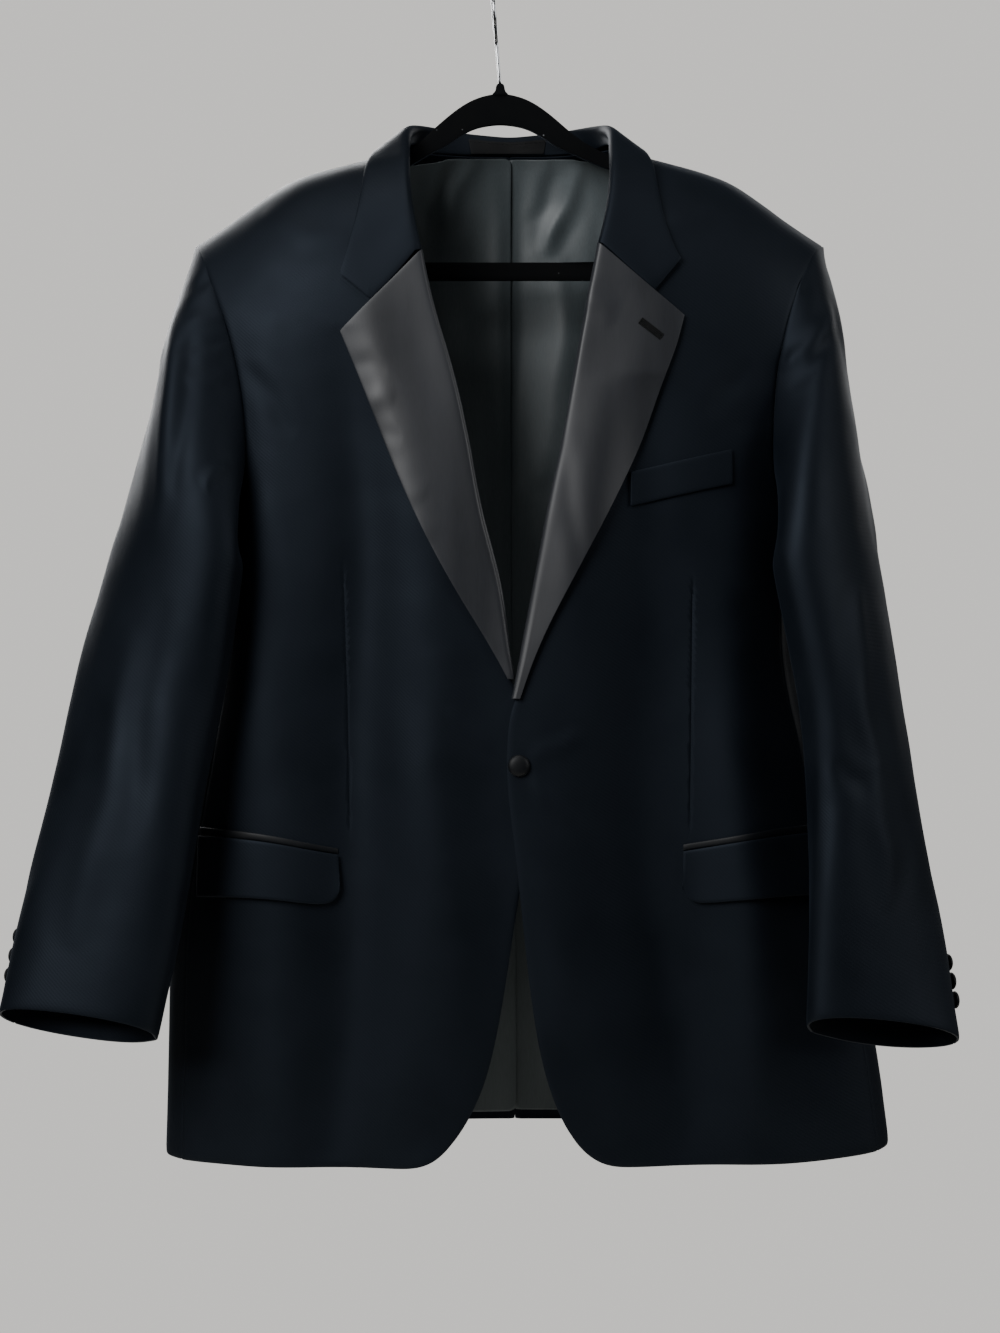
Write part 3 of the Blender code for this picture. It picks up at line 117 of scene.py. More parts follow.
def add_node(
    tree: NodeTree, kind: str, settings: dict | None = None, links: dict | None = None
) -> Node:
    """Add a shader node with its settings and links.

    Args:
        tree: Node tree that gets the node.
        kind: Blender's name for the node, after ShaderNode.
        settings: Values by socket name or number, or by attribute name.
        links: Sockets that feed the node, by its socket name or number.

    Returns:
        The new node.
    """
    new = tree.nodes.new("ShaderNode" + kind)
    for name, value in (settings or {}).items():
        if isinstance(name, int) or name in new.inputs:
            new.inputs[name].default_value = value
        else:
            setattr(new, name, value)
    for name, socket in (links or {}).items():
        tree.links.new(socket, new.inputs[name])
    return new


def wave_scale(spacing_mm: float) -> float:
    """Return a Wave texture's scale for bands this far apart."""
    return 2.0 * math.pi / (20.0 * spacing_mm * MM)


def grain_scale(size_mm: float) -> float:
    """Return a Noise texture's scale for patches of about this size."""
    return 1.0 / (size_mm * MM)


# Share of the fine pattern in a finish's tone, beside its slow changes.
PATTERN_SHARE = 0.55
# Tone that gives the darkest and the lightest colour.
TONE_RANGE = {"From Min": 0.45, "From Max": 1.1}
# How far the roughness goes up and down, and the slow change that does it.
WEAR = 0.06
WEAR_RANGE = {"From Min": 0.3, "From Max": 0.7}
# Lint on flock: its colour, and how far apart it lies.
LINT = "6d7072"
LINT_MM = 12.0


@dataclass(frozen=True)
class Finish:
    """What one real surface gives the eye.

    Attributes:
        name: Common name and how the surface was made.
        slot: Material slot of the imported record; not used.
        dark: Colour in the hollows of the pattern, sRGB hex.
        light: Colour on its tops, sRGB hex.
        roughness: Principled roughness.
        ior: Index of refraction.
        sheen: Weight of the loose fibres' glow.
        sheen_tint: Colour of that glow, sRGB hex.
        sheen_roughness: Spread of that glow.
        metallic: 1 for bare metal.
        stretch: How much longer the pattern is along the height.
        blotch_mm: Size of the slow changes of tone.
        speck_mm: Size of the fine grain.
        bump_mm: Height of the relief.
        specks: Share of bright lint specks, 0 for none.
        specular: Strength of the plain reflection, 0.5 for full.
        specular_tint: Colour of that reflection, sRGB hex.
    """

    name: str
    slot: str
    dark: str
    light: str
    roughness: float
    ior: float = 1.5
    sheen: float = 0.0
    sheen_tint: str = "ffffff"
    sheen_roughness: float = 0.3
    metallic: float = 0.0
    stretch: float = 1.0
    blotch_mm: float = 60.0
    speck_mm: float = 0.9
    bump_mm: float = 0.05
    specks: float = 0.0
    specular: float = 0.5
    specular_tint: str = "ffffff"

    def relief(self, tree: NodeTree, place: NodeSocket) -> NodeSocket:
        """Add the pattern that both tone and bump follow.

        Args:
            tree: Node tree of the material.
            place: Point in the object, in metres.

        Returns:
            Socket with the pattern's height, 0 to 1.
        """
        settings = {"Scale": grain_scale(self.speck_mm), "Detail": 3.0, "Roughness": 0.6}
        return add_node(tree, "TexNoise", settings, {"Vector": place}).outputs["Fac"]

    def material(self) -> Material:
        """Make the material once, and give the same one from then on.

        Returns:
            The finish as a material.
        """
        if self.name in bpy.data.materials:
            return bpy.data.materials[self.name]
        made = bpy.data.materials.new(self.name)
        made.use_nodes = True
        tree = made.node_tree
        coords = add_node(tree, "TexCoord")
        longer = {"Scale": (1.0, 1.0, 1.0 / self.stretch)}
        mapping = add_node(tree, "Mapping", longer, {"Vector": coords.outputs["Object"]})
        place = mapping.outputs["Vector"]
        height = self.relief(tree, place)
        slow = {"Scale": grain_scale(self.blotch_mm), "Detail": 2.0}
        blotch = add_node(tree, "TexNoise", slow, {"Vector": place}).outputs["Fac"]
        sums = {"operation": "MULTIPLY_ADD", 1: PATTERN_SHARE}
        tone = add_node(tree, "Math", sums, {0: height, 2: blotch}).outputs[0]
        spread = add_node(tree, "MapRange", TONE_RANGE, {"Value": tone}).outputs["Result"]
        shades = {"data_type": "RGBA", 6: linear(self.dark), 7: linear(self.light)}
        colour = add_node(tree, "Mix", shades, {0: spread}).outputs[2]
        if self.specks:
            colour = self._lint(tree, place, colour)
        rough = {
            **WEAR_RANGE,
            "To Min": max(self.roughness - WEAR, 0.0),
            "To Max": min(self.roughness + WEAR, 1.0),
        }
        wear = add_node(tree, "MapRange", rough, {"Value": blotch})
        depth = {"Strength": 0.8, "Distance": self.bump_mm * MM}
        bump = add_node(tree, "Bump", depth, {"Height": height})
        shader = tree.nodes["Principled BSDF"]
        for name, socket in (
            ("Base Color", colour),
            ("Roughness", wear.outputs["Result"]),
            ("Normal", bump.outputs["Normal"]),
        ):
            tree.links.new(socket, shader.inputs[name])
        for name, value in (
            ("IOR", self.ior),
            ("Metallic", self.metallic),
            ("Sheen Weight", self.sheen),
            ("Sheen Roughness", self.sheen_roughness),
            ("Sheen Tint", linear(self.sheen_tint)),
            ("Specular IOR Level", self.specular),
            ("Specular Tint", linear(self.specular_tint)),
        ):
            shader.inputs[name].default_value = value
        return made

    def _lint(self, tree: NodeTree, place: NodeSocket, colour: NodeSocket) -> NodeSocket:
        """Scatter pale lint specks over the colour.

        Args:
            tree: Node tree of the material.
            place: Point in the object, in metres.
            colour: Colour without the specks.

        Returns:
            Colour with the specks.
        """
        apart = {"Scale": grain_scale(LINT_MM)}
        cells = add_node(tree, "TexVoronoi", apart, {"Vector": place})
        edge = {"From Min": self.specks, "From Max": self.specks * 0.5}
        near = add_node(tree, "MapRange", edge, {"Value": cells.outputs["Distance"]})
        pale = {"data_type": "RGBA", 7: linear(LINT)}
        mixed = {0: near.outputs["Result"], 6: colour}
        return add_node(tree, "Mix", pale, mixed).outputs[2]


@dataclass(frozen=True)
class Twill(Finish):
    """A finish with the slanting ribs of a twill weave.

    Attributes:
        rib_mm: Distance between the drawn ribs.
        slant: Turn of the ribs about the three axes, in degrees.
        fuzz: Share of the yarn's fuzz over the ribs.
    """

    rib_mm: float = 2.2
    slant: Point = (0.0, 52.0, 18.0)
    fuzz: float = 0.6

    def relief(self, tree: NodeTree, place: NodeSocket) -> NodeSocket:
        """Add slanting ribs, broken by the yarn's own fuzz.

        Args:
            tree: Node tree of the material.
            place: Point in the object, in metres.

        Returns:
            Socket with the pattern's height, 0 to 1.
        """
        turn = {"Rotation": tuple(math.radians(angle) for angle in self.slant)}
        slant = add_node(tree, "Mapping", turn, {"Vector": place})
        waves = {"Scale": wave_scale(self.rib_mm), "Distortion": 0.6, "Detail": 1.0}
        ribs = add_node(tree, "TexWave", waves, {"Vector": slant.outputs["Vector"]})
        both = {2: ribs.outputs["Fac"], 3: super().relief(tree, place)}
        return add_node(tree, "Mix", {0: self.fuzz}, both).outputs[0]


# Worsted wool, twill woven and pressed: matt midnight blue, nearly black, with
# a faint cool glow where light rakes it. Its ribs are 0.7 mm apart, too fine
# to show at this size, so they are drawn three times as far apart.
WORSTED_WOOL = Twill(
    "Worsted wool twill, woven", "wool", dark="020407", light="070a0f", roughness=0.62,
    ior=1.45, sheen=0.03, sheen_tint="9db6d6", sheen_roughness=0.45, blotch_mm=70.0,
    speck_mm=1.1, bump_mm=0.09, specular=0.36, specular_tint="b9cbe4",
)
# Silk-faced satin, warp floats up: smooth charcoal with a broad soft gleam.
SILK_SATIN = Finish(
    "Silk satin, woven", "satin", dark="191b1f", light="282a2f", roughness=0.47,
    sheen=0.2, sheen_tint="ccd4e0", stretch=14.0, blotch_mm=45.0, speck_mm=0.8,
    bump_mm=0.02,
)
# The lapels' satin again, on the jets and buttons, with a darker colour as painted shade
# and a weaker gleam.
SHADED_SATIN = replace(
    SILK_SATIN, name="Silk satin, woven, darkened as painted shade", dark="04060a", light="0b0e12",
    roughness=0.5, sheen=0.08, sheen_tint="b9c8dc", blotch_mm=20.0, speck_mm=0.6,
    specular=0.25,
)
# Viscose lining satin: grey and thin, with a bright streak on each fold.
LINING_SATIN = Finish(
    "Viscose lining satin, woven", "lining", dark="3b4245", light="545c5f",
    roughness=0.5, sheen=0.2, sheen_tint="c9d8dc", stretch=10.0, blotch_mm=35.0,
    speck_mm=0.8, bump_mm=0.03,
)
# Nylon flock on moulded plastic: deep black that glows at grazing angles and
# holds a few specks of lint.
FLOCKED_NYLON = Finish(
    "Nylon flock on ABS, moulded", "velvet", dark="030405", light="08090b",
    roughness=0.92, ior=1.4, sheen=0.3, sheen_tint="6f7a88", sheen_roughness=0.35,
    blotch_mm=25.0, speck_mm=0.5, bump_mm=0.12, specks=0.075, specular=0.15,
)
# Chrome-plated steel wire, drawn and polished: bright with faint draw lines.
STEEL_WIRE = Finish(
    "Chrome-plated steel wire, drawn", "steel", dark="a9abad", light="c6c7c9",
    roughness=0.2, metallic=1.0, stretch=20.0, blotch_mm=12.0, speck_mm=0.4,
    bump_mm=0.004,
)
# Twisted silk thread: black, with hardly a gleam on each stitch.
SILK_THREAD = Finish(
    "Silk buttonhole thread, twisted", "satin", dark="010202", light="060708",
    roughness=0.6, speck_mm=0.3, blotch_mm=6.0, bump_mm=0.03, specular=0.2,
)
# Damask label tape, woven: black, closely ribbed, with a slight gleam.
LABEL_TAPE = replace(
    SILK_THREAD, name="Damask label tape, woven", dark="040507", light="0a0c0f",
    roughness=0.62, stretch=0.25, blotch_mm=15.0, speck_mm=0.5,
)
# Painted plaster of a photo studio: matt warm white.
STUDIO_PAINT = Finish(
    "Matt emulsion paint, rolled", "", dark="c6c3bb", light="cdcac3", roughness=0.95,
    blotch_mm=300.0, speck_mm=3.0, bump_mm=0.02,
)


# A crease's narrowest width, its hollows and its unevenness, as shares of it.
END_WIDTH = 0.55
SIDE_HOLLOW = 0.22
WOBBLE = 0.22
SWELL = 0.18


@dataclass(frozen=True)
class Crease:
    """A soft ridge, or a trough where its height is below zero.

    It is drawn on the side it is seen from, in millimetres: x and z on the
    front and back, y and z on the sides.

    Attributes:
        facing: Side it is seen from.
        start: One end.
        end: Other end.
        width: Half width of the ridge.
        height: Most that the cloth stands out.
        bow: How far the middle lies off the straight line.
    """

    facing: Facing
    start: tuple[float, float]
    end: tuple[float, float]
    width: float
    height: float
    bow: float = 0.0

    def lift(self, points: np.ndarray, normals: np.ndarray) -> np.ndarray:
        """Work out how far the crease moves cloth out along its normals.

        Args:
            points: Cloth points in metres, one row each.
            normals: Their normals.

        Returns:
            Distance for each point, in metres.
        """
        out = np.array(self.facing.value)
        across = 0 if out[0] == 0.0 else 1
        flat = points[:, (across, 2)] / MM - np.array(self.start)
        run = np.array(self.end) - np.array(self.start)
        length = float(np.hypot(*run))
        along = run / length
        held = flat @ along / length
        inside = np.clip(held, 0.0, 1.0)
        phase = self.start[0] * 0.37 + self.start[1] * 0.11
        wobble = np.sin(5.1 * inside + phase) + 0.6 * np.sin(11.3 * inside + 2 * phase)
        off = flat @ np.array((-along[1], along[0]))
        off -= self.bow * 4.0 * inside * (1.0 - inside) + WOBBLE * self.width * wobble
        taper = np.sqrt(np.clip(1.0 - (2.0 * held - 1.0) ** 2, 0.0, 1.0))
        width = self.width * (END_WIDTH + (1.0 - END_WIDTH) * taper)
        ridge = np.exp(-((off / width) ** 2))
        hollow = np.exp(-(((np.abs(off) - 2.0 * width) / width) ** 2))
        facing = np.clip((normals @ out - 0.12) / 0.4, 0.0, 1.0)
        facing = facing * facing * (3.0 - 2.0 * facing)
        height = self.height * (1.0 + SWELL * np.sin(7.7 * inside + phase))
        return height * MM * taper**1.4 * (ridge - SIDE_HOLLOW * hollow) * facing


def creases(facing: Facing, *rows: tuple[float, ...]) -> tuple[Crease, ...]:
    """Make the creases of one side.

    Args:
        facing: Side that they are seen from.
        rows: Both ends, width, height and bow of each, in millimetres.

    Returns:
        The creases.
    """
    return tuple(Crease(facing, row[:2], row[2:4], *row[4:]) for row in rows)


@dataclass(frozen=True)
class Dart:
    """A sewn dart, which shows as a fine groove down a panel.

    Attributes:
        start: Upper end on the front, x and z in millimetres.
        end: Lower end.
        width: Half width of the groove.
        depth: Depth of the groove.
    """

    start: tuple[float, float]
    end: tuple[float, float]
    width: float = 1.3
    depth: float = 0.9

    def cut(self, cloth: BMesh) -> None:
        """Cut a cloth along the groove's middle and both its sides.

        Args:
            cloth: Mesh to cut.
        """
        top, foot = (Vector((x, 0.0, z)) * MM for x, z in (self.start, self.end))
        across = (foot - top).cross(Facing.FRONT.vector()).normalized()
        for share in (-1.0, 0.0, 1.0):
            bmesh.ops.bisect_plane(
                cloth,
                geom=cloth.verts[:] + cloth.edges[:] + cloth.faces[:],
                dist=SAME_POINT,
                plane_co=top + across * share * self.width * MM,
                plane_no=across,
            )

    def lift(self, points: np.ndarray) -> np.ndarray:
        """Work out how far the cloth sinks into the groove.

        Args:
            points: Cloth points in metres, one row each.

        Returns:
            Distance for each point, in metres, below zero in the groove.
        """
        flat = points[:, (0, 2)] / MM - np.array(self.start)
        run = np.array(self.end) - np.array(self.start)
        length = float(np.hypot(*run))
        held = flat @ run / length**2
        off = flat @ np.array((-run[1], run[0])) / length
        fade = np.clip(np.minimum(held, 1.0 - held) * 12.0, 0.0, 1.0)
        return -self.depth * MM * fade * np.clip(1.0 - np.abs(off) / self.width, 0.0, 1.0)


def node_copy(node: str) -> BMesh:
    """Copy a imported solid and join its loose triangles.

    Args:
        node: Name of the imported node.

    Returns:
        The solid as one connected mesh.
    """
    solid = bmesh.new()
    solid.from_mesh(NODES[node].data)
    bmesh.ops.remove_doubles(solid, verts=solid.verts, dist=SAME_POINT)
    solid.normal_update()
    return solid


def walls(solid: BMesh) -> list[tuple[list[BMFace], Vector]]:
    """Split a solid at its sharp edges.

    Args:
        solid: Connected mesh of the solid.

    Returns:
        Each wall's faces and the sum of their normals by area.
    """
    found = []
    seen: set[BMFace] = set()
    for first in solid.faces:
        if first in seen:
            continue
        seen.add(first)
        wall, queue = [], [first]
        while queue:
            face = queue.pop()
            wall.append(face)
            for edge in face.edges:
                if len(edge.link_faces) != 2 or edge.calc_face_angle() > WALL_BREAK:
                    continue
                fresh = [f for f in edge.link_faces if f not in seen]
                seen.update(fresh)
                queue.extend(fresh)
        total = sum((f.normal * f.calc_area() for f in wall), Vector())
        found.append((wall, total))
    return found


def join_pairs(mesh: BMesh, bend: float, skew: float) -> None:
    """Join pairs of triangles to four-sided faces.

    Args:
        mesh: Mesh of triangles.
        bend: Largest angle between two that are joined, in degrees.
        skew: How far the new face may be from a square, in degrees.
    """
    bmesh.ops.join_triangles(
        mesh,
        faces=mesh.faces[:],
        angle_face_threshold=math.radians(bend),
        angle_shape_threshold=math.radians(skew),
    )


def outer_wall(node: str, facing: Facing | None) -> BMesh:
    """Take the wall of a packed cloth solid that shows.

    Args:
        node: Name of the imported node.
        facing: Side that the wall faces, or None for its largest wall.

    Returns:
        That wall alone, its triangles paired.
    """
    solid = node_copy(node)
    choices = walls(solid)
    if facing is None:
        keep = max(choices, key=lambda w: sum(f.calc_area() for f in w[0]))[0]
    else:
        keep = max(choices, key=lambda w: w[1].dot(facing.vector()))[0]
    kept = set(keep)
    drop = [f for f in solid.faces if f not in kept]
    bmesh.ops.delete(solid, geom=drop, context="FACES")
    join_pairs(solid, 60.0, 70.0)
    return solid


def keep_corners(wall: BMesh, turn: float = CUT_CORNER) -> None:
    """Mark the corners of a wall's outline, so that dividing keeps them.

    Args:
        wall: Open wall.
        turn: Least turn of the outline at a corner.
    """
    layer = wall.verts.layers.float.get("crease_vert")
    if layer is None:
        layer = wall.verts.layers.float.new("crease_vert")
    for vertex in wall.verts:
        rim = [e for e in vertex.link_edges if e.is_boundary]
        if len(rim) != 2:
            continue
        one, two = (e.other_vert(vertex).co - vertex.co for e in rim)
        if math.pi - one.angle(two) > turn:
            vertex[layer] = 1.0


def new_object(name: str, data: bpy.types.ID) -> Object:
    """Return a new object in the scene, at the origin."""
    made = bpy.data.objects.new(name, data)
    bpy.context.scene.collection.objects.link(made)
    return made


def settle(piece: BMesh, name: str) -> Object:
    """Turn a mesh into an object of the scene, at the origin.

    Args:
        piece: Mesh, freed afterwards.
        name: Name of the object.

    Returns:
        The new object.
    """
    data = bpy.data.meshes.new(name)
    piece.to_mesh(data)
    piece.free()
    return new_object(name, data)


def divided(wall: BMesh, level: int) -> BMesh:
    """Divide a mesh smoothly.

    Args:
        wall: Mesh, freed afterwards.
        level: How often it is divided.

    Returns:
        The fine mesh.
    """
    rough = settle(wall, "rough_wall")
    levels = {"levels": level, "render_levels": level}
    modifier(rough, "Fine", "SUBSURF", **levels, use_limit_surface=False)
    graph = bpy.context.evaluated_depsgraph_get()
    data = bpy.data.meshes.new_from_object(rough.evaluated_get(graph))
    bpy.data.objects.remove(rough)
    smooth = bmesh.new()
    smooth.from_mesh(data)
    bpy.data.meshes.remove(data)
    return smooth


def add_edge_row(cloth: BMesh, width: float) -> None:
    """Add a narrow row of faces along a cloth's edge.

    Args:
        cloth: Open mesh.
        width: Width of the row, less where the cloth's own row is narrow.
    """
    rungs = [
        e
        for e in cloth.edges
        if not e.is_boundary and e.verts[0].is_boundary != e.verts[1].is_boundary
    ]
    split = bmesh.ops.subdivide_edges(cloth, edges=rungs, cuts=1)
    fresh = {v for v in split["geom_inner"] if isinstance(v, BMVert)}
    for vertex in fresh:
        others = [e.other_vert(vertex) for e in vertex.link_edges]
        edge = [v for v in others if v.is_boundary]
        inner = [v for v in others if v not in fresh and not v.is_boundary]
        if not edge or not inner:
            continue
        run = inner[0].co - edge[0].co
        if run.length > SAME_POINT:
            vertex.co = edge[0].co + run * min(0.5, width / run.length)


def dress(made: Object, finish: Finish) -> None:
    """Give a piece its finish and its place among the moving bodies.

    Args:
        made: Piece to dress.
        finish: What it is made of.
    """
    made.data.materials.clear()
    made.data.materials.append(finish.material())
    made.data.shade_smooth()
    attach(made, ROOT)


def modifier(made: Object, name: str, kind: str, **values: object) -> None:
    """Add a modifier.

    Args:
        made: Piece that gets it.
        name: Name of the modifier.
        kind: Blender's name for it.
        values: What is set on it.
    """
    new = made.modifiers.new(name, kind)
    for key, value in values.items():
        setattr(new, key, value)


def rounded(made: Object, width_mm: float, angle: float, segments: int = 2) -> None:
    """Round a piece's sharp edges.

    Args:
        made: Piece to round.
        width_mm: Width of the rounding.
        angle: Smallest turn that counts as sharp, in degrees.
        segments: Faces across the rounding.
    """
    modifier(
        made,
        "Rounded edge",
        "BEVEL",
        width=width_mm * MM,
        segments=segments,
        limit_method="ANGLE",
        angle_limit=math.radians(angle),
    )


def spun(profile: Profile, steps: int) -> BMesh:
    """Spin a profile about the z axis.

    Args:
        profile: Radius and height of each corner, in metres.
        steps: Faces round the turn.

    Returns:
        The closed round form.
    """
    form = bmesh.new()
    corners = [form.verts.new((radius, 0.0, height)) for radius, height in profile]
    edges = [form.edges.new(pair) for pair in zip(corners, corners[1:])]
    bmesh.ops.spin(
        form,
        geom=corners + edges,
        cent=(0.0, 0.0, 0.0),
        axis=(0.0, 0.0, 1.0),
        angle=2.0 * math.pi,
        steps=steps,
        use_merge=True,
    )
    bmesh.ops.remove_doubles(form, verts=form.verts, dist=SAME_POINT)
    bmesh.ops.recalc_face_normals(form, faces=form.faces)
    return form


@dataclass
class Cloth:
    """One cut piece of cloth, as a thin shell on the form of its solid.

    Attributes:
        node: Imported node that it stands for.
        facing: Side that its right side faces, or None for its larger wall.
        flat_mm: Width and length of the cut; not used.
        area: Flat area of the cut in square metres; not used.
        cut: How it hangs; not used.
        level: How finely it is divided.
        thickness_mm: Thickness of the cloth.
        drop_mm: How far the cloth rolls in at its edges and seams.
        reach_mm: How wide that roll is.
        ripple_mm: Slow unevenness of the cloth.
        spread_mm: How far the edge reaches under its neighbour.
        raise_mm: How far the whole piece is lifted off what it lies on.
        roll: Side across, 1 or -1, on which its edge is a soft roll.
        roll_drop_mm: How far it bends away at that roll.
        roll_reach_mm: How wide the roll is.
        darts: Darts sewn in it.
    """

    node: str
    facing: Facing | None
    flat_mm: tuple[float, float]
    area: float
    cut: Cut = Cut.HUNG
    level: int = 3
    thickness_mm: float = 1.8
    drop_mm: float = 0.7
    reach_mm: float = 3.0
    ripple_mm: float = 0.5
    spread_mm: float = 0.6
    raise_mm: float = 0.0
    roll: float = 0.0
    roll_drop_mm: float = 1.2
    roll_reach_mm: float = 7.0
    darts: tuple[Dart, ...] = ()
    shell: Object = field(init=False)
    points: np.ndarray = field(init=False)
    normals: np.ndarray = field(init=False)
    edge_gap: np.ndarray = field(init=False)
    edge_out: np.ndarray = field(init=False)
    edge_side: np.ndarray = field(init=False)

    def shape(self, creases: tuple[Crease, ...] = ()) -> None:
        """Divide the cloth finely and press its creases into it.

        Args:
            creases: Folds of every side, of which it takes those it faces.
        """
        self._divide()
        lift = sum(
            (c.lift(self.points, self.normals) for c in creases),
            np.zeros(len(self.points)),
        )
        lift += self._ripple() - self._edge_roll() + self.raise_mm * MM
        lift += sum(dart.lift(self.points) for dart in self.darts)
        self.points = self.points + self.normals * lift[:, None]
        self.points += self.edge_out * self.spread_mm * MM
        self._write()

    def _divide(self) -> None:
        """Divide the wall smoothly and add a fine row along its edges."""
        wall = outer_wall(self.node, self.facing)
        keep_corners(wall)
        cloth = divided(wall, self.level)
        add_edge_row(cloth, 0.4 * self.reach_mm * MM)
        for dart in self.darts:
            dart.cut(cloth)
        cloth.normal_update()
        self.shell = settle(cloth, self.node + "_cloth")
        self._read()

    def _read(self) -> None:
        """Read the shell's points, normals and distances from its edge."""
        data = self.shell.data
        count = len(data.vertices)
        self.points = np.zeros(count * 3)
        data.vertices.foreach_get("co", self.points)
        self.points = self.points.reshape(-1, 3)
        self.normals = np.array([tuple(v.vector) for v in data.vertex_normals])
        shared = {}
        for face in data.polygons:
            for key in face.edge_keys:
                shared[key] = shared.get(key, 0) + 1
        rim = {v for key, uses in shared.items() if uses == 1 for v in key}
        self.edge_out = np.zeros((count, 3))
        for one, two in shared:
            if (one in rim) == (two in rim):
                continue
            edge, inner = (one, two) if one in rim else (two, one)
            self.edge_out[edge] += self.points[edge] - self.points[inner]
        size = np.linalg.norm(self.edge_out, axis=1, keepdims=True)
        self.edge_out /= np.maximum(size, SAME_POINT)
        tree = kdtree.KDTree(len(rim))
        for vertex in rim:
            tree.insert(data.vertices[vertex].co, vertex)
        tree.balance()
        nearest = [tree.find(v.co) for v in data.vertices]
        self.edge_gap = np.array([found[2] for found in nearest])
        self.edge_side = self.edge_out[[found[1] for found in nearest], 0]

    def _write(self) -> None:
        """Write the shell's points back."""
        self.shell.data.vertices.foreach_set("co", self.points.ravel())
        self.shell.data.update()

    def _ripple(self) -> np.ndarray:
        """Return the slow unevenness that pressed cloth keeps."""
        height = [
            sum(share * noise.noise(Vector(p) * scale) for share, scale in RIPPLES)
            for p in self.points
        ]
        return np.array(height) * self.ripple_mm * MM

    def _edge_roll(self) -> np.ndarray:
        """Return how far the cloth rolls in near its edges and seams."""
        near = np.clip(1.0 - self.edge_gap / (self.reach_mm * MM), 0.0, 1.0)
        drop = self.drop_mm * near**2
        if self.roll:
            soft = np.clip(1.0 - self.edge_gap / (self.roll_reach_mm * MM), 0.0, 1.0)
            drop += self.roll_drop_mm * soft**2 * (self.edge_side * self.roll > 0.6)
        return drop * MM

    def thicken(self, finish: Finish) -> Object:
        """Give the shell its thickness and its finish.

        Args:
            finish: What it is woven from.

        Returns:
            The piece of cloth.
        """
        thick = {"thickness": self.thickness_mm * MM, "offset": -1.0}
        modifier(self.shell, "Cloth", "SOLIDIFY", **thick, use_even_offset=False)
        rounded(self.shell, 0.3 * self.thickness_mm, 60.0)
        dress(self.shell, finish)
        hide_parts(self.node)
        LOG.info("%s: %d points", self.shell.name, len(self.points))
        return self.shell

    def finish(self, finish: Finish, parts: list[Object] | None = None) -> None:
        """Give the shell its thickness and its finish.

        Args:
            finish: What it is woven from.
            parts: Small things sewn on it; not used.
        """
        self.thicken(finish)

    def ground(self) -> BVHTree:
        """Return the cloth's outer surface for laying small things on."""
        faces = [tuple(f.vertices) for f in self.shell.data.polygons]
        return BVHTree.FromPolygons([tuple(p) for p in self.points], faces)


def turned_to(direction: Vector) -> Matrix:
    """Return the turn that brings the z axis to a direction."""
    return Vector((0.0, 0.0, 1.0)).rotation_difference(direction).to_matrix().to_4x4()


def stitch(thread: BMesh, start: Vector, end: Vector, radius: float) -> None:
    """Add one short stitch of thread between two points.

    Args:
        thread: Mesh that takes the stitch.
        start: Where it comes up.
        end: Where it goes down.
        radius: Radius of the thread.
    """
    run = end - start
    size = Matrix.Diagonal((radius, radius, run.length * 0.5 + radius, 1.0))
    place = Matrix.Translation((start + end) * 0.5) @ turned_to(run) @ size
    bmesh.ops.create_uvsphere(thread, u_segments=8, v_segments=6, radius=1.0, matrix=place)


# Folds on the body of the jacket, in millimetres.
BODY_CREASES = (
    *creases(
        Facing.FRONT,
        # Long drape folds of the right front: a ridge that leans out to the hem,
        # a broad valley beside it, and a swell along the front edge.
        (-172, -290, -232, -965, 24, 5.5, -6),
        (-116, -300, -122, -985, 30, -11, 5),
        (-44, -560, -30, -975, 26, 4, 6),
        # Those of the left front: it turns away to a valley, then stands out.
        (124, -340, 150, -985, 34, -12, -6),
        (206, -380, 222, -960, 24, 7.5, -6),
        (34, -700, 48, -975, 22, 2.4, 5),
        # Short pulls from the fastened button.
        (30, -652, 78, -632, 5.5, 1.2, 3),
        (30, -668, 70, -700, 6, 1.3, -3),
        (4, -640, -36, -610, 6, 0.9, 2),
        # Shallow breaks below the shoulders.
        (-190, -196, -112, -232, 9, 1.1, -5),
        (196, -190, 132, -222, 8, 1, 5),
        (-205, -330, -160, -388, 8, -1.3, 4),
        (214, -330, 176, -372, 8, -1.2, -4),
    ),
    *creases(
        Facing.BACK,
        # The back hangs in its own long folds.
        (-96, -300, -120, -860, 20, 3, 8),
        (-160, -420, -172, -820, 16, -2.4, -6),
        (112, -280, 134, -880, 22, 2.8, -9),
        (174, -450, 180, -800, 15, -2.2, 5),
        (40, -520, 52, -900, 18, 2, 5),
        (-38, -560, -46, -930, 16, -1.8, -4),
        (-70, -150, 60, -158, 8, 1.3, -4),
        (-176, -240, -110, -330, 10, 1.6, 6),
        (190, -236, 120, -318, 11, 1.5, -6),
    ),
    *creases(
        Facing.RIGHT,
        # The side bodies.
        (-20, -470, -24, -830, 12, 1.8, 4),
    ),
    *creases(
        Facing.LEFT,
        (-14, -480, -20, -840, 12, 1.7, -4),
    ),
)

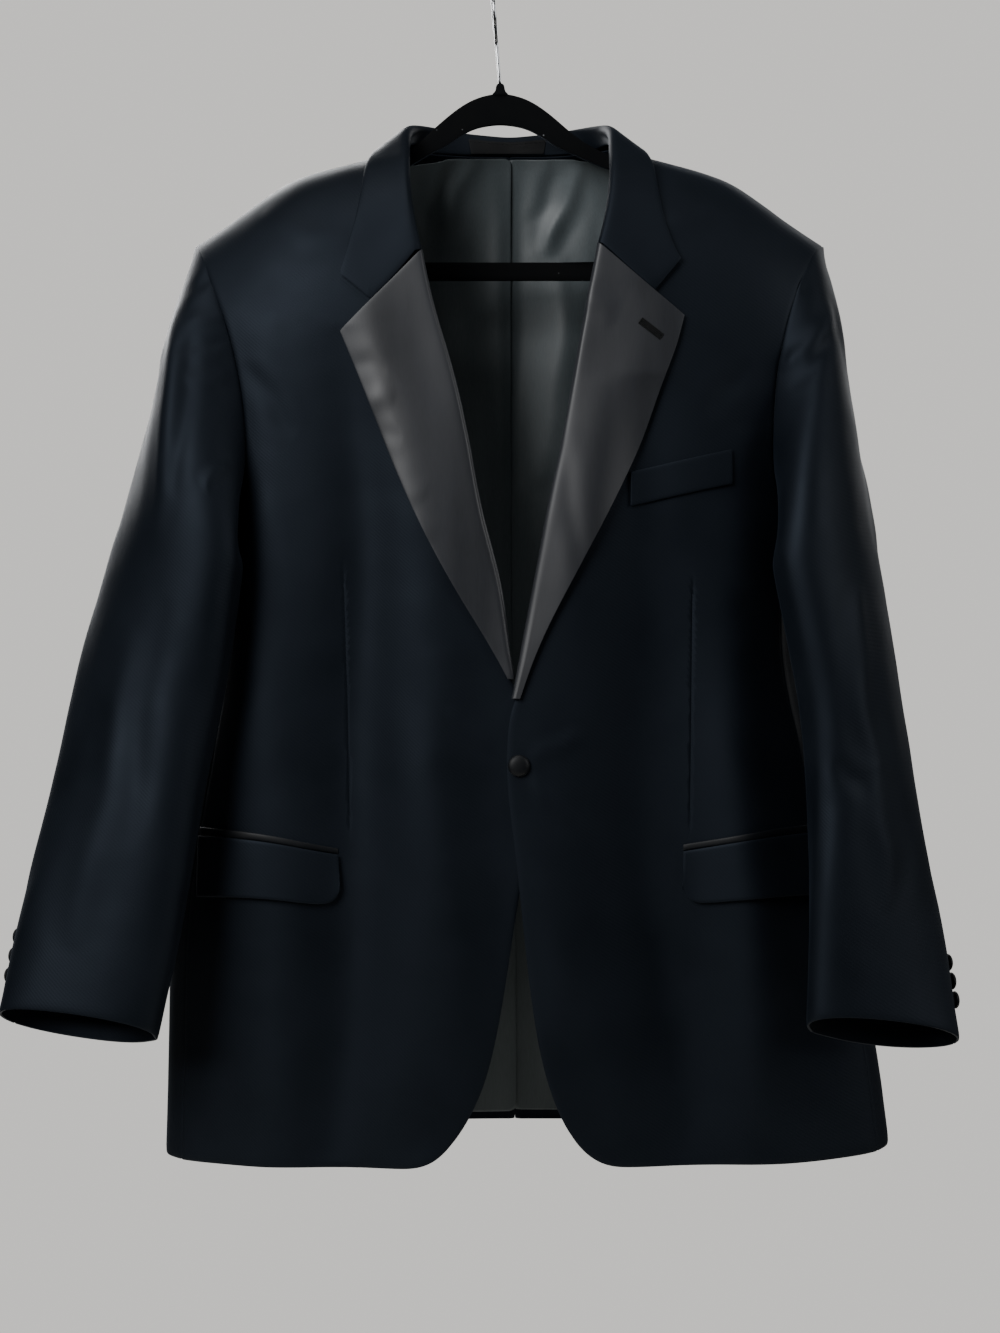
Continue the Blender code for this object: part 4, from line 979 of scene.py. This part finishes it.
# Folds of the two sleeves, in millimetres.
SLEEVE_CREASES = (
    *creases(
        Facing.FRONT,
        # Short breaks where the right sleeve head meets the armhole.
        (-252, -262, -222, -256, 4.5, -1.3, 1.5),
        (-256, -292, -216, -288, 5, 1.4, -2),
        (-258, -318, -214, -310, 5, -1.5, 2),
        (-250, -342, -212, -340, 5.5, 1.5, -2),
        # Its long lit ridge and the trough beside it.
        (-262, -270, -270, -470, 8, 2.4, 5),
        (-248, -300, -256, -440, 7, -1.8, 3),
        (-228, -436, -214, -412, 5, 1.6, 2),
        (-296, -540, -330, -800, 13, 2.2, 7),
        (-262, -520, -288, -720, 11, -1.8, -5),
        # Drag lines across the left sleeve below its head.
        (284, -276, 236, -334, 7, 1.9, 5),
        (276, -300, 244, -352, 6, -1.6, 3),
        (258, -252, 240, -270, 4.5, 1.2, 1),
        (256, -316, 236, -334, 4.5, 1.2, -1),
        (292, -510, 306, -660, 9, 2.6, -5),
        (304, -650, 312, -770, 9, 2.2, 3),
        (270, -650, 298, -682, 8, -1.6, 3),
    ),
    *creases(
        Facing.RIGHT,
        # The sleeves' outer sides and backs.
        (-10, -250, -50, -330, 9, 1.7, 4),
        (14, -360, -36, -470, 11, -1.8, 6),
        (-30, -520, -84, -760, 12, 2, -6),
    ),
    *creases(
        Facing.LEFT,
        (-6, -240, -44, -330, 9, 1.6, -4),
        (10, -380, -40, -480, 11, 1.8, -6),
        (-24, -530, -78, -770, 12, -1.9, 6),
    ),
    *creases(
        Facing.BACK,
        (-270, -300, -262, -420, 9, 1.8, 4),
        (-290, -500, -312, -720, 12, 2, -6),
        (276, -290, 270, -400, 9, -1.7, -3),
        (292, -520, 306, -730, 12, 2, 6),
    ),
)

# Folds of the rolled lapels, which they have besides the body's.
LAPEL_CREASES = creases(
    Facing.FRONT,
    # The right one stands out along its outer edge and turns from the light.
    (-124, -262, -24, -560, 30, 4.5, -3),
    (-132, -326, -84, -338, 7, -0.5, 2),
    (-126, -352, -78, -362, 10, 0.7, -2),
    (-104, -392, -72, -388, 7, -0.4, 1),
    (-92, -420, -52, -440, 11, 0.6, 2),
    (-70, -470, -30, -492, 9, -0.5, 1),
    # The left one stands out along its outer edge.
    (142, -276, 30, -610, 30, 4, 3),
    (70, -262, 96, -300, 9, 0.9, 3),
    (52, -380, 74, -520, 8, -0.8, 3),
)

# Folds of the loose lining, fanning from its centre pleat, in millimetres.
LINING_CREASES = creases(
    Facing.FRONT,
    # The pleat: its fold stands out, and the cloth beside it sinks.
    (4, -132, 8, -930, 8, 1.4, 0),
    (24, -128, 24, -420, 9, -2.2, 0),
    # The fan on its left side: a broad lit fold that slants in.
    (78, -136, 44, -216, 7, 4, 3),
    (56, -132, 36, -190, 6, -1.6, 2),
    (62, -216, 46, -420, 15, 4.2, 3),
    (98, -170, 80, -330, 8, -1.8, 3),
    # On its right side: a short slanting fold, and slack beside it.
    (-20, -136, -44, -196, 7, 3.6, -3),
    (-42, -136, -60, -190, 6, -1.8, 0),
    (-62, -150, -54, -290, 9, -1.8, 3),
    # Long slack folds down the back.
    (-30, -270, -18, -560, 13, 3, -4),
    (78, -360, 66, -560, 11, 2.6, -3),
    (-10, -700, -20, -940, 10, 2.6, 2),
    (48, -680, 54, -940, 11, 2.8, -3),
)


# How the lapels, jets, flaps and linings are made up, for both sides alike.
LAPEL = {
    "cut": Cut.FOLDED, "thickness_mm": 1.0, "reach_mm": 2.0, "ripple_mm": 0.3,
    "spread_mm": 0.1, "raise_mm": 0.4,
}
JET = {
    "cut": Cut.LAID, "level": 2, "thickness_mm": 1.0, "drop_mm": 0.5, "reach_mm": 1.6,
    "ripple_mm": 0.0, "spread_mm": 0.1, "raise_mm": 0.3,
}
FLAP = {
    "thickness_mm": 1.5, "drop_mm": 0.5, "reach_mm": 1.8, "ripple_mm": 0.4,
    "spread_mm": 0.1, "raise_mm": 1.5,
}
SLACK = {"thickness_mm": 0.8, "drop_mm": 0.0, "reach_mm": 2.0, "ripple_mm": 0.4}


@dataclass
class Body:
    """Fronts, side bodies and back, sewn to each other.

    Attributes:
        fronts: The two front panels.
        others: Side bodies and backs.
    """

    fronts: dict[str, Cloth] = field(
        default_factory=lambda: {
            "right": Cloth(
                "front_right", Facing.FRONT, (306, 912), 0.1983,
                darts=(Dart((-122.6, -492.0), (-117.4, -716.0)),),
            ),
            "left": Cloth(
                "front_left", Facing.FRONT, (290, 905), 0.1931,
                darts=(Dart((164.5, -500.0), (162.5, -712.0)),),
            ),
        }
    )
    others: tuple[Cloth, ...] = field(
        default_factory=lambda: (
            Cloth("side_right", Facing.RIGHT, (98, 538), 0.0453),
            Cloth("side_left", Facing.LEFT, (85, 538), 0.0398),
            Cloth("back_right", Facing.BACK, (307, 867), 0.2183),
            Cloth("back_left", Facing.BACK, (308, 867), 0.2179),
        )
    )

    def build(self) -> None:
        """Shape every panel and press the body's folds in."""
        for cloth in (*self.fronts.values(), *self.others):
            cloth.shape(BODY_CREASES)

    def finish(self, on_right: list[Object], on_left: list[Object]) -> None:
        """Dress the panels.

        Args:
            on_right: Small things sewn on the right front.
            on_left: Small things sewn on the left front.
        """
        self.fronts["right"].finish(WORSTED_WOOL, on_right)
        self.fronts["left"].finish(WORSTED_WOOL, on_left)
        for cloth in self.others:
            cloth.finish(WORSTED_WOOL)


@dataclass
class Sleeves:
    """Two-piece sleeves, set in at the armholes.

    Attributes:
        halves: Top and under halves of both sleeves.
    """

    halves: tuple[Cloth, ...] = field(
        default_factory=lambda: (
            Cloth("sleeve_top_right", None, (300, 655), 0.1419),
            Cloth("sleeve_under_right", None, (181, 560), 0.0699),
            Cloth("sleeve_top_left", None, (300, 662), 0.1388),
            Cloth("sleeve_under_left", None, (169, 560), 0.0677),
        )
    )

    def build(self) -> None:
        """Shape and dress the sleeves."""
        for cloth in self.halves:
            cloth.shape(SLEEVE_CREASES)
            cloth.finish(WORSTED_WOOL)


@dataclass
class Collar:
    """Wool collar and the two satin lapels under its notches.

    Attributes:
        collar: Stand and fall in one folded piece.
        lapels: Satin facings rolled back over the fronts.
    """

    collar: Cloth = field(
        default_factory=lambda: Cloth(
            "collar", None, (108, 643), 0.0366, Cut.FOLDED, level=2,
            thickness_mm=1.6, drop_mm=0.5, reach_mm=2.5, ripple_mm=0.3, spread_mm=0.1,
        )
    )
    lapels: dict[str, Cloth] = field(
        default_factory=lambda: {
            "right": Cloth(
                "lapel_right", Facing.FRONT, (99, 356), 0.0192, **LAPEL,
                drop_mm=0.2, roll=1.0, roll_drop_mm=4.0, roll_reach_mm=28.0,
            ),
            "left": Cloth(
                "lapel_left", Facing.FRONT, (96, 376), 0.0187, **LAPEL, drop_mm=0.0
            ),
        }
    )

    def build(self) -> None:
        """Shape the collar and lapels over the fronts' folds."""
        self.collar.shape()
        for lapel in self.lapels.values():
            lapel.shape(BODY_CREASES + LAPEL_CREASES)

    def finish(self, buttonhole: Object) -> None:
        """Dress the collar and lapels.

        Args:
            buttonhole: Worked hole in the left lapel.
        """
        self.collar.finish(WORSTED_WOOL)
        self.lapels["right"].finish(SILK_SATIN)
        self.lapels["left"].finish(SILK_SATIN, [buttonhole])


@dataclass
class Buttonhole:
    """Worked hole with close purl stitches round a slit.

    Attributes:
        name: Name of the piece.
        start_mm: End of the slit nearest the edge, x and z.
        end_mm: Other end.
        thread_mm: Thickness of the thread.
        pitch_mm: Distance between stitches.
        bite_mm: Length of each stitch across the edge of the slit.
    """

    name: str
    start_mm: tuple[float, float]
    end_mm: tuple[float, float]
    thread_mm: float = 0.8
    pitch_mm: float = 1.0
    bite_mm: float = 2.5

    def build(self, ground: BVHTree) -> Object:
        """Work the stitches on the cloth.

        Args:
            ground: Cloth surface that they lie on.

        Returns:
            The worked hole.
        """
        thread = bmesh.new()
        start, end = Vector(self.start_mm) * MM, Vector(self.end_mm) * MM
        run = end - start
        count = int(run.length / (self.pitch_mm * MM))
        side = Vector((-run.y, run.x)).normalized()
        for i in range(count + 1):
            middle = start + run * (i / count)
            for way in (-1.0, 1.0):
                ends = [
                    self._lift(ground, middle + side * way * reach * MM)
                    for reach in (0.25, 0.25 + self.bite_mm)
                ]
                stitch(thread, *ends, self.thread_mm * 0.5 * MM)
        for tip in (start, end):
            ends = [
                self._lift(ground, tip + side * way * self.bite_mm * MM)
                for way in (-1.0, 1.0)
            ]
            stitch(thread, *ends, self.thread_mm * 0.6 * MM)
        made = settle(thread, self.name)
        dress(made, SILK_THREAD)
        return made

    def _lift(self, ground: BVHTree, place: Vector) -> Vector:
        """Return the thread's centre over a place on the front, given as x and z."""
        out = Facing.FRONT.vector()
        point, normal, _, _ = ground.ray_cast(Vector((place.x, 0.0, place.y)) + out, -out)
        if normal.dot(out) < 0.0:
            normal = -normal
        return point + normal * self.thread_mm * 0.4 * MM


@dataclass
class Pockets:
    """Breast welt and the two hip pockets with satin jets and flaps.

    Attributes:
        jets: Narrow satin strips over the flaps.
        flaps: Wool flaps.
        welt: Breast pocket welt.
    """

    jets: dict[str, Cloth] = field(
        default_factory=lambda: {
            "right": Cloth("pocket_jet_right", Facing.FRONT, (127, 7), 0.0007, **JET),
            "left": Cloth("pocket_jet_left", Facing.FRONT, (143, 7), 0.0008, **JET),
        }
    )
    flaps: dict[str, Cloth] = field(
        default_factory=lambda: {
            "right": Cloth("pocket_flap_right", Facing.FRONT, (131, 51), 0.0057, **FLAP),
            "left": Cloth("pocket_flap_left", Facing.FRONT, (142, 54), 0.0066, **FLAP),
        }
    )
    welt: Cloth = field(
        default_factory=lambda: Cloth(
            "breast_welt", Facing.FRONT, (86, 28), 0.0023, Cut.LAID,
            thickness_mm=1.3, drop_mm=0.4, reach_mm=2.0, ripple_mm=0.2, spread_mm=0.1,
        )
    )

    def build(self) -> dict[str, Object]:
        """Shape and dress the pockets' pieces over the fronts' folds.

        Returns:
            The jets by side.
        """
        for cloth in (*self.jets.values(), *self.flaps.values(), self.welt):
            cloth.shape(BODY_CREASES)
        for cloth in (*self.flaps.values(), self.welt):
            cloth.finish(WORSTED_WOOL)
        return {side: jet.thicken(SHADED_SATIN) for side, jet in self.jets.items()}


@dataclass
class Lining:
    """Back lining, which shows in the neck and below the fronts.

    Attributes:
        halves: Right and left half.
    """

    halves: tuple[Cloth, ...] = field(
        default_factory=lambda: (
            Cloth(
                "lining_back_right", Facing.FRONT, (291, 838), 0.2058, **SLACK,
                spread_mm=1.6, raise_mm=4.6,
            ),
            Cloth(
                "lining_back_left", Facing.FRONT, (301, 839), 0.2054, **SLACK, raise_mm=2.2
            ),
        )
    )

    def build(self) -> None:
        """Shape and dress the lining."""
        for cloth in self.halves:
            cloth.shape(LINING_CREASES)
            cloth.finish(LINING_SATIN)


@dataclass
class Label:
    """Bare woven label, stitched to the collar stand.

    Attributes:
        cloth: The tape.
        inset_mm: Distance of the stitches from its edge.
        stitch_mm: Length of a stitch and of the gap after it.
        thread_mm: Thickness of the thread.
    """

    cloth: Cloth = field(
        default_factory=lambda: Cloth(
            "neck_label", Facing.FRONT, (68, 15), 0.00087, Cut.LAID, level=2,
            thickness_mm=0.5, drop_mm=0.1, reach_mm=1.0, ripple_mm=0.0, spread_mm=0.0,
        )
    )
    inset_mm: float = 1.3
    stitch_mm: float = 2.0
    thread_mm: float = 0.4

    def build(self) -> None:
        """Shape the tape and sew it on along its top and bottom."""
        self.cloth.shape()
        sewn = self._stitches()
        self.cloth.finish(LABEL_TAPE, [sewn])

    def _stitches(self) -> Object:
        """Return two rows of running stitches, just inside the tape's edges."""
        thread = bmesh.new()
        ground = self.cloth.ground()
        points = self.cloth.points
        step, inset = self.stitch_mm * MM, self.inset_mm * MM
        places = np.arange(points[:, 0].min() + step, points[:, 0].max() - step, 2.0 * step)
        for x in places:
            near = points[np.abs(points[:, 0] - x) < step]
            for z in (near[:, 2].max() - inset, near[:, 2].min() + inset):
                ends = [
                    ground.find_nearest(Vector((x + part * step, near[:, 1].min(), z)))[0]
                    for part in (-0.45, 0.45)
                ]
                stitch(thread, *ends, self.thread_mm * 0.5 * MM)
        made = settle(thread, "label_stitches")
        dress(made, SILK_THREAD)
        return made


@dataclass
class CoveredButton:
    """Domed button covered in satin.

    Attributes:
        node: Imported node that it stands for.
        rings: Profile as shares of radius and height, crown first.
        pleats: Tiny gathers where the cover turns under the rim.
    """

    node: str
    rings: Profile = (
        (0.0, 1.0), (0.3, 0.985), (0.58, 0.92), (0.8, 0.78), (0.94, 0.57),
        (1.0, 0.36), (0.97, 0.2), (0.84, 0.07), (0.55, 0.0), (0.0, 0.0),
    )
    pleats: int = 18

    def build(self) -> Object:
        """Spin the dome on its packed button's place and cover it.

        Returns:
            The button.
        """
        solid = node_copy(self.node)
        points = np.array([tuple(v.co) for v in solid.verts])
        solid.free()
        centre = points.mean(0)
        axis = Vector(np.linalg.svd(points - centre)[2][2])
        on_cuff = "cuff" in self.node
        wanted = Vector((centre[0], 0.0, 0.0)) if on_cuff else Facing.FRONT.vector()
        if axis.dot(wanted) < 0.0:
            axis.negate()
        along = (points - centre) @ np.array(axis)
        across = (points - centre) - along[:, None] * np.array(axis)
        radius = float(np.linalg.norm(across, axis=1).max())
        low, high = float(along.min()), float(along.max())
        tall = high - low
        profile = tuple((share * radius, low + rise * tall) for share, rise in self.rings)
        dome = spun(profile, 2 * self.pleats)
        self._gather(dome, radius)
        place = Matrix.Translation(Vector(centre)) @ turned_to(axis)
        bmesh.ops.transform(dome, matrix=place, verts=dome.verts)
        made = settle(dome, self.node + "_covered")
        modifier(made, "Smooth cover", "SUBSURF", levels=1, render_levels=1)
        dress(made, SHADED_SATIN)
        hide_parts(self.node)
        return made

    def _gather(self, dome: BMesh, radius: float) -> None:
        """Press shallow gathers into the rim.

        Args:
            dome: Button about the z axis.
            radius: Its radius.
        """
        for vertex in dome.verts:
            reach = math.hypot(vertex.co.x, vertex.co.y)
            if reach < 0.9 * radius:
                continue
            angle = math.atan2(vertex.co.y, vertex.co.x)
            share = 1.0 - 0.02 * (0.5 + 0.5 * math.cos(self.pleats * angle))
            vertex.co.x *= share
            vertex.co.y *= share


@dataclass
class Buttons:
    """Front button and three buttons at each cuff.

    Attributes:
        cuffs: Sides whose cuff carries buttons.
        per_cuff: Buttons at each cuff.
    """

    cuffs: tuple[str, ...] = ("right", "left")
    per_cuff: int = 3

    def build(self) -> Object:
        """Build every button.

        Returns:
            The front button.
        """
        front = CoveredButton("button_front").build()
        for side in self.cuffs:
            for number in range(1, self.per_cuff + 1):
                CoveredButton(f"button_cuff_{side}_{number}").build()
        return front


@dataclass
class Hanger:
    """Flocked hanger with its steel hook.

    Attributes:
        edge_mm: Rounding of the moulded frame's edges.
        arch_top_mm: Height of the arch under the nub.
        nub_mm: Profile of the nub that holds the hook, radius and height
            over the arch, top first.
        nub_flat: Depth of the nub as a share of its width.
    """

    edge_mm: float = 1.5
    arch_top_mm: float = -87.8
    nub_mm: Profile = (
        (0.0, 9.0), (1.6, 8.8), (2.9, 7.9), (3.6, 6.2), (3.9, 4.0),
        (4.6, 2.0), (6.4, 0.2), (7.0, -2.0), (0.0, -3.0),
    )
    nub_flat: float = 0.62

    def build(self) -> None:
        """Build and dress the frame, its nub and the hook."""
        frame_piece = self._frame()
        nub = self._nub()
        nub.parent = frame_piece
        drawn = node_copy("hanger_hook")
        join_pairs(drawn, 40.0, 60.0)
        wire = settle(drawn, "hook_wire")
        modifier(wire, "Drawn wire", "SUBSURF", levels=1, render_levels=1)
        dress(wire, STEEL_WIRE)
        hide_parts("hanger_hook")

    def _frame(self) -> Object:
        """Return the moulded frame, smooth along its arch and arms."""
        low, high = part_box("hanger")
        outline = outer_wall("hanger", Facing.FRONT)
        peak = max(outline.verts, key=lambda v: v.co.z)
        peak.co.z = self.arch_top_mm * MM
        keep_corners(outline, math.radians(60.0))
        made = settle(divided(outline, 2), "hanger_flocked")
        modifier(made, "Depth", "SOLIDIFY", thickness=high.y - low.y, offset=-1.0)
        rounded(made, self.edge_mm, 50.0, 3)
        dress(made, FLOCKED_NYLON)
        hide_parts("hanger")
        return made

    def _nub(self) -> Object:
        """Return the nub on top of the arch, under the hook."""
        low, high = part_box("hanger")
        foot = 0.5 * (low + high)
        foot.z = self.arch_top_mm * MM
        profile = tuple((radius * MM, height * MM) for radius, height in self.nub_mm)
        nub = spun(profile, 28)
        squash = Matrix.Diagonal((1.0, self.nub_flat, 1.0, 1.0))
        bmesh.ops.transform(nub, matrix=Matrix.Translation(foot) @ squash, verts=nub.verts)
        made = settle(nub, "hanger_nub")
        dress(made, FLOCKED_NYLON)
        return made


@dataclass
class Studio:
    """Pale round floor, pale room, soft lights and the camera.

    Attributes:
        eye: Camera place.
        lens_mm: Focal length on a sensor 36 mm along the longer side.
        floor_z: Height of the floor.
        floor_radius: Radius of the floor.
        floor_depth: Thickness of the floor.
        room: Colour of the room that is seen, sRGB hex.
        room_glow: Strength of the light that comes from all around.
        aim: Point that every light faces.
        lights: Name, place, side of the square and watts of each light.
    """

    eye: Point = (0.0068, -1.85, -0.576)
    lens_mm: float = 58.6
    floor_z: float = -1.5
    floor_radius: float = 1.15
    floor_depth: float = 0.03
    room: str = "e6e4e0"
    room_glow: float = 0.04
    aim: Point = (0.0, 0.0, -0.5)
    lights: tuple[tuple[str, Point, float, float], ...] = (
        ("Key", (-1.7, -2.3, 0.7), 1.6, 88.0),
        ("Fill", (2.8, -1.1, 0.4), 2.0, 34.0),
        ("Top", (-0.4, -1.1, 2.2), 1.4, 24.0),
        ("Back right", (-1.2, 2.7, 0.9), 1.8, 130.0),
        ("Back left", (1.3, 2.7, 0.5), 1.6, 22.0),
    )

    def build(self) -> None:
        """Make the floor, the room, the lights and the camera."""
        self._floor()
        self._room()
        self._camera()
        for name, place, size, power in self.lights:
            self._soft_light(name, place, size, power)

    def _floor(self) -> None:
        """Make the round floor under the jacket."""
        disc = bmesh.new()
        bmesh.ops.create_circle(disc, cap_ends=True, segments=128, radius=self.floor_radius)
        bmesh.ops.solidify(disc, geom=disc.faces[:], thickness=self.floor_depth)
        bmesh.ops.recalc_face_normals(disc, faces=disc.faces)
        top = max(v.co.z for v in disc.verts)
        bmesh.ops.translate(disc, verts=disc.verts, vec=(0.0, 0.0, self.floor_z - top))
        floor = settle(disc, "studio_floor")
        floor.data.materials.append(STUDIO_PAINT.material())

    def _room(self) -> None:
        """Make the room, which looks pale and glows only softly."""
        world = bpy.data.worlds.new("Soft room")
        world.use_nodes = True
        tree = world.node_tree
        glow = tree.nodes["Background"]
        glow.inputs["Color"].default_value = linear("e6e8ea")
        glow.inputs["Strength"].default_value = self.room_glow
        seen = add_node(tree, "Background", {"Color": linear(self.room)})
        path = add_node(tree, "LightPath")
        mixed = {
            0: path.outputs["Is Camera Ray"],
            1: glow.outputs["Background"],
            2: seen.outputs["Background"],
        }
        both = add_node(tree, "MixShader", links=mixed)
        out = tree.nodes["World Output"]
        tree.links.new(both.outputs["Shader"], out.inputs["Surface"])
        bpy.context.scene.world = world

    def _camera(self) -> None:
        """Put the camera level with the jacket's middle."""
        data = bpy.data.cameras.new("Camera")
        data.lens = self.lens_mm
        data.sensor_width = 36.0
        data.sensor_fit = "AUTO"
        camera = new_object("Camera", data)
        camera.location = self.eye
        camera.rotation_euler = (math.radians(90.0), 0.0, 0.0)
        bpy.context.scene.camera = camera

    def _soft_light(self, name: str, place: Point, size: float, power: float) -> None:
        """Add one large square light that no camera sees.

        Args:
            name: Name of the light.
            place: Where it stands.
            size: Side of the square.
            power: Watts.
        """
        data = bpy.data.lights.new(name, "AREA")
        data.shape = "SQUARE"
        data.size = size
        data.energy = power
        light = new_object(name, data)
        light.location = place
        sight = Vector(self.aim) - Vector(place)
        light.rotation_euler = sight.to_track_quat("-Z", "Y").to_euler()
        light.visible_camera = False


def main() -> None:
    """Build the jacket, its hanger and the studio, piece by piece."""
    logging.basicConfig(level=logging.INFO, format="%(name)s: %(message)s")
    Studio().build()
    LOG.info("studio is set")
    body = Body()
    body.build()
    LOG.info("body is shaped")
    collar = Collar()
    collar.build()
    hole = Buttonhole("lapel_buttonhole", (120.4, -296.5), (137.4, -309.5)).build(
        collar.lapels["left"].ground()
    )
    collar.finish(hole)
    LOG.info("collar and lapels are made")
    button = Buttons().build()
    LOG.info("buttons are made")
    jets = Pockets().build()
    LOG.info("pockets are made")
    body.finish([jets["right"]], [jets["left"], button])
    LOG.info("body is made")
    Sleeves().build()
    LOG.info("sleeves are made")
    Lining().build()
    Label().build()
    LOG.info("lining and label are made")
    Hanger().build()
    LOG.info("hanger is made")


if __name__ == "__main__":
    main()
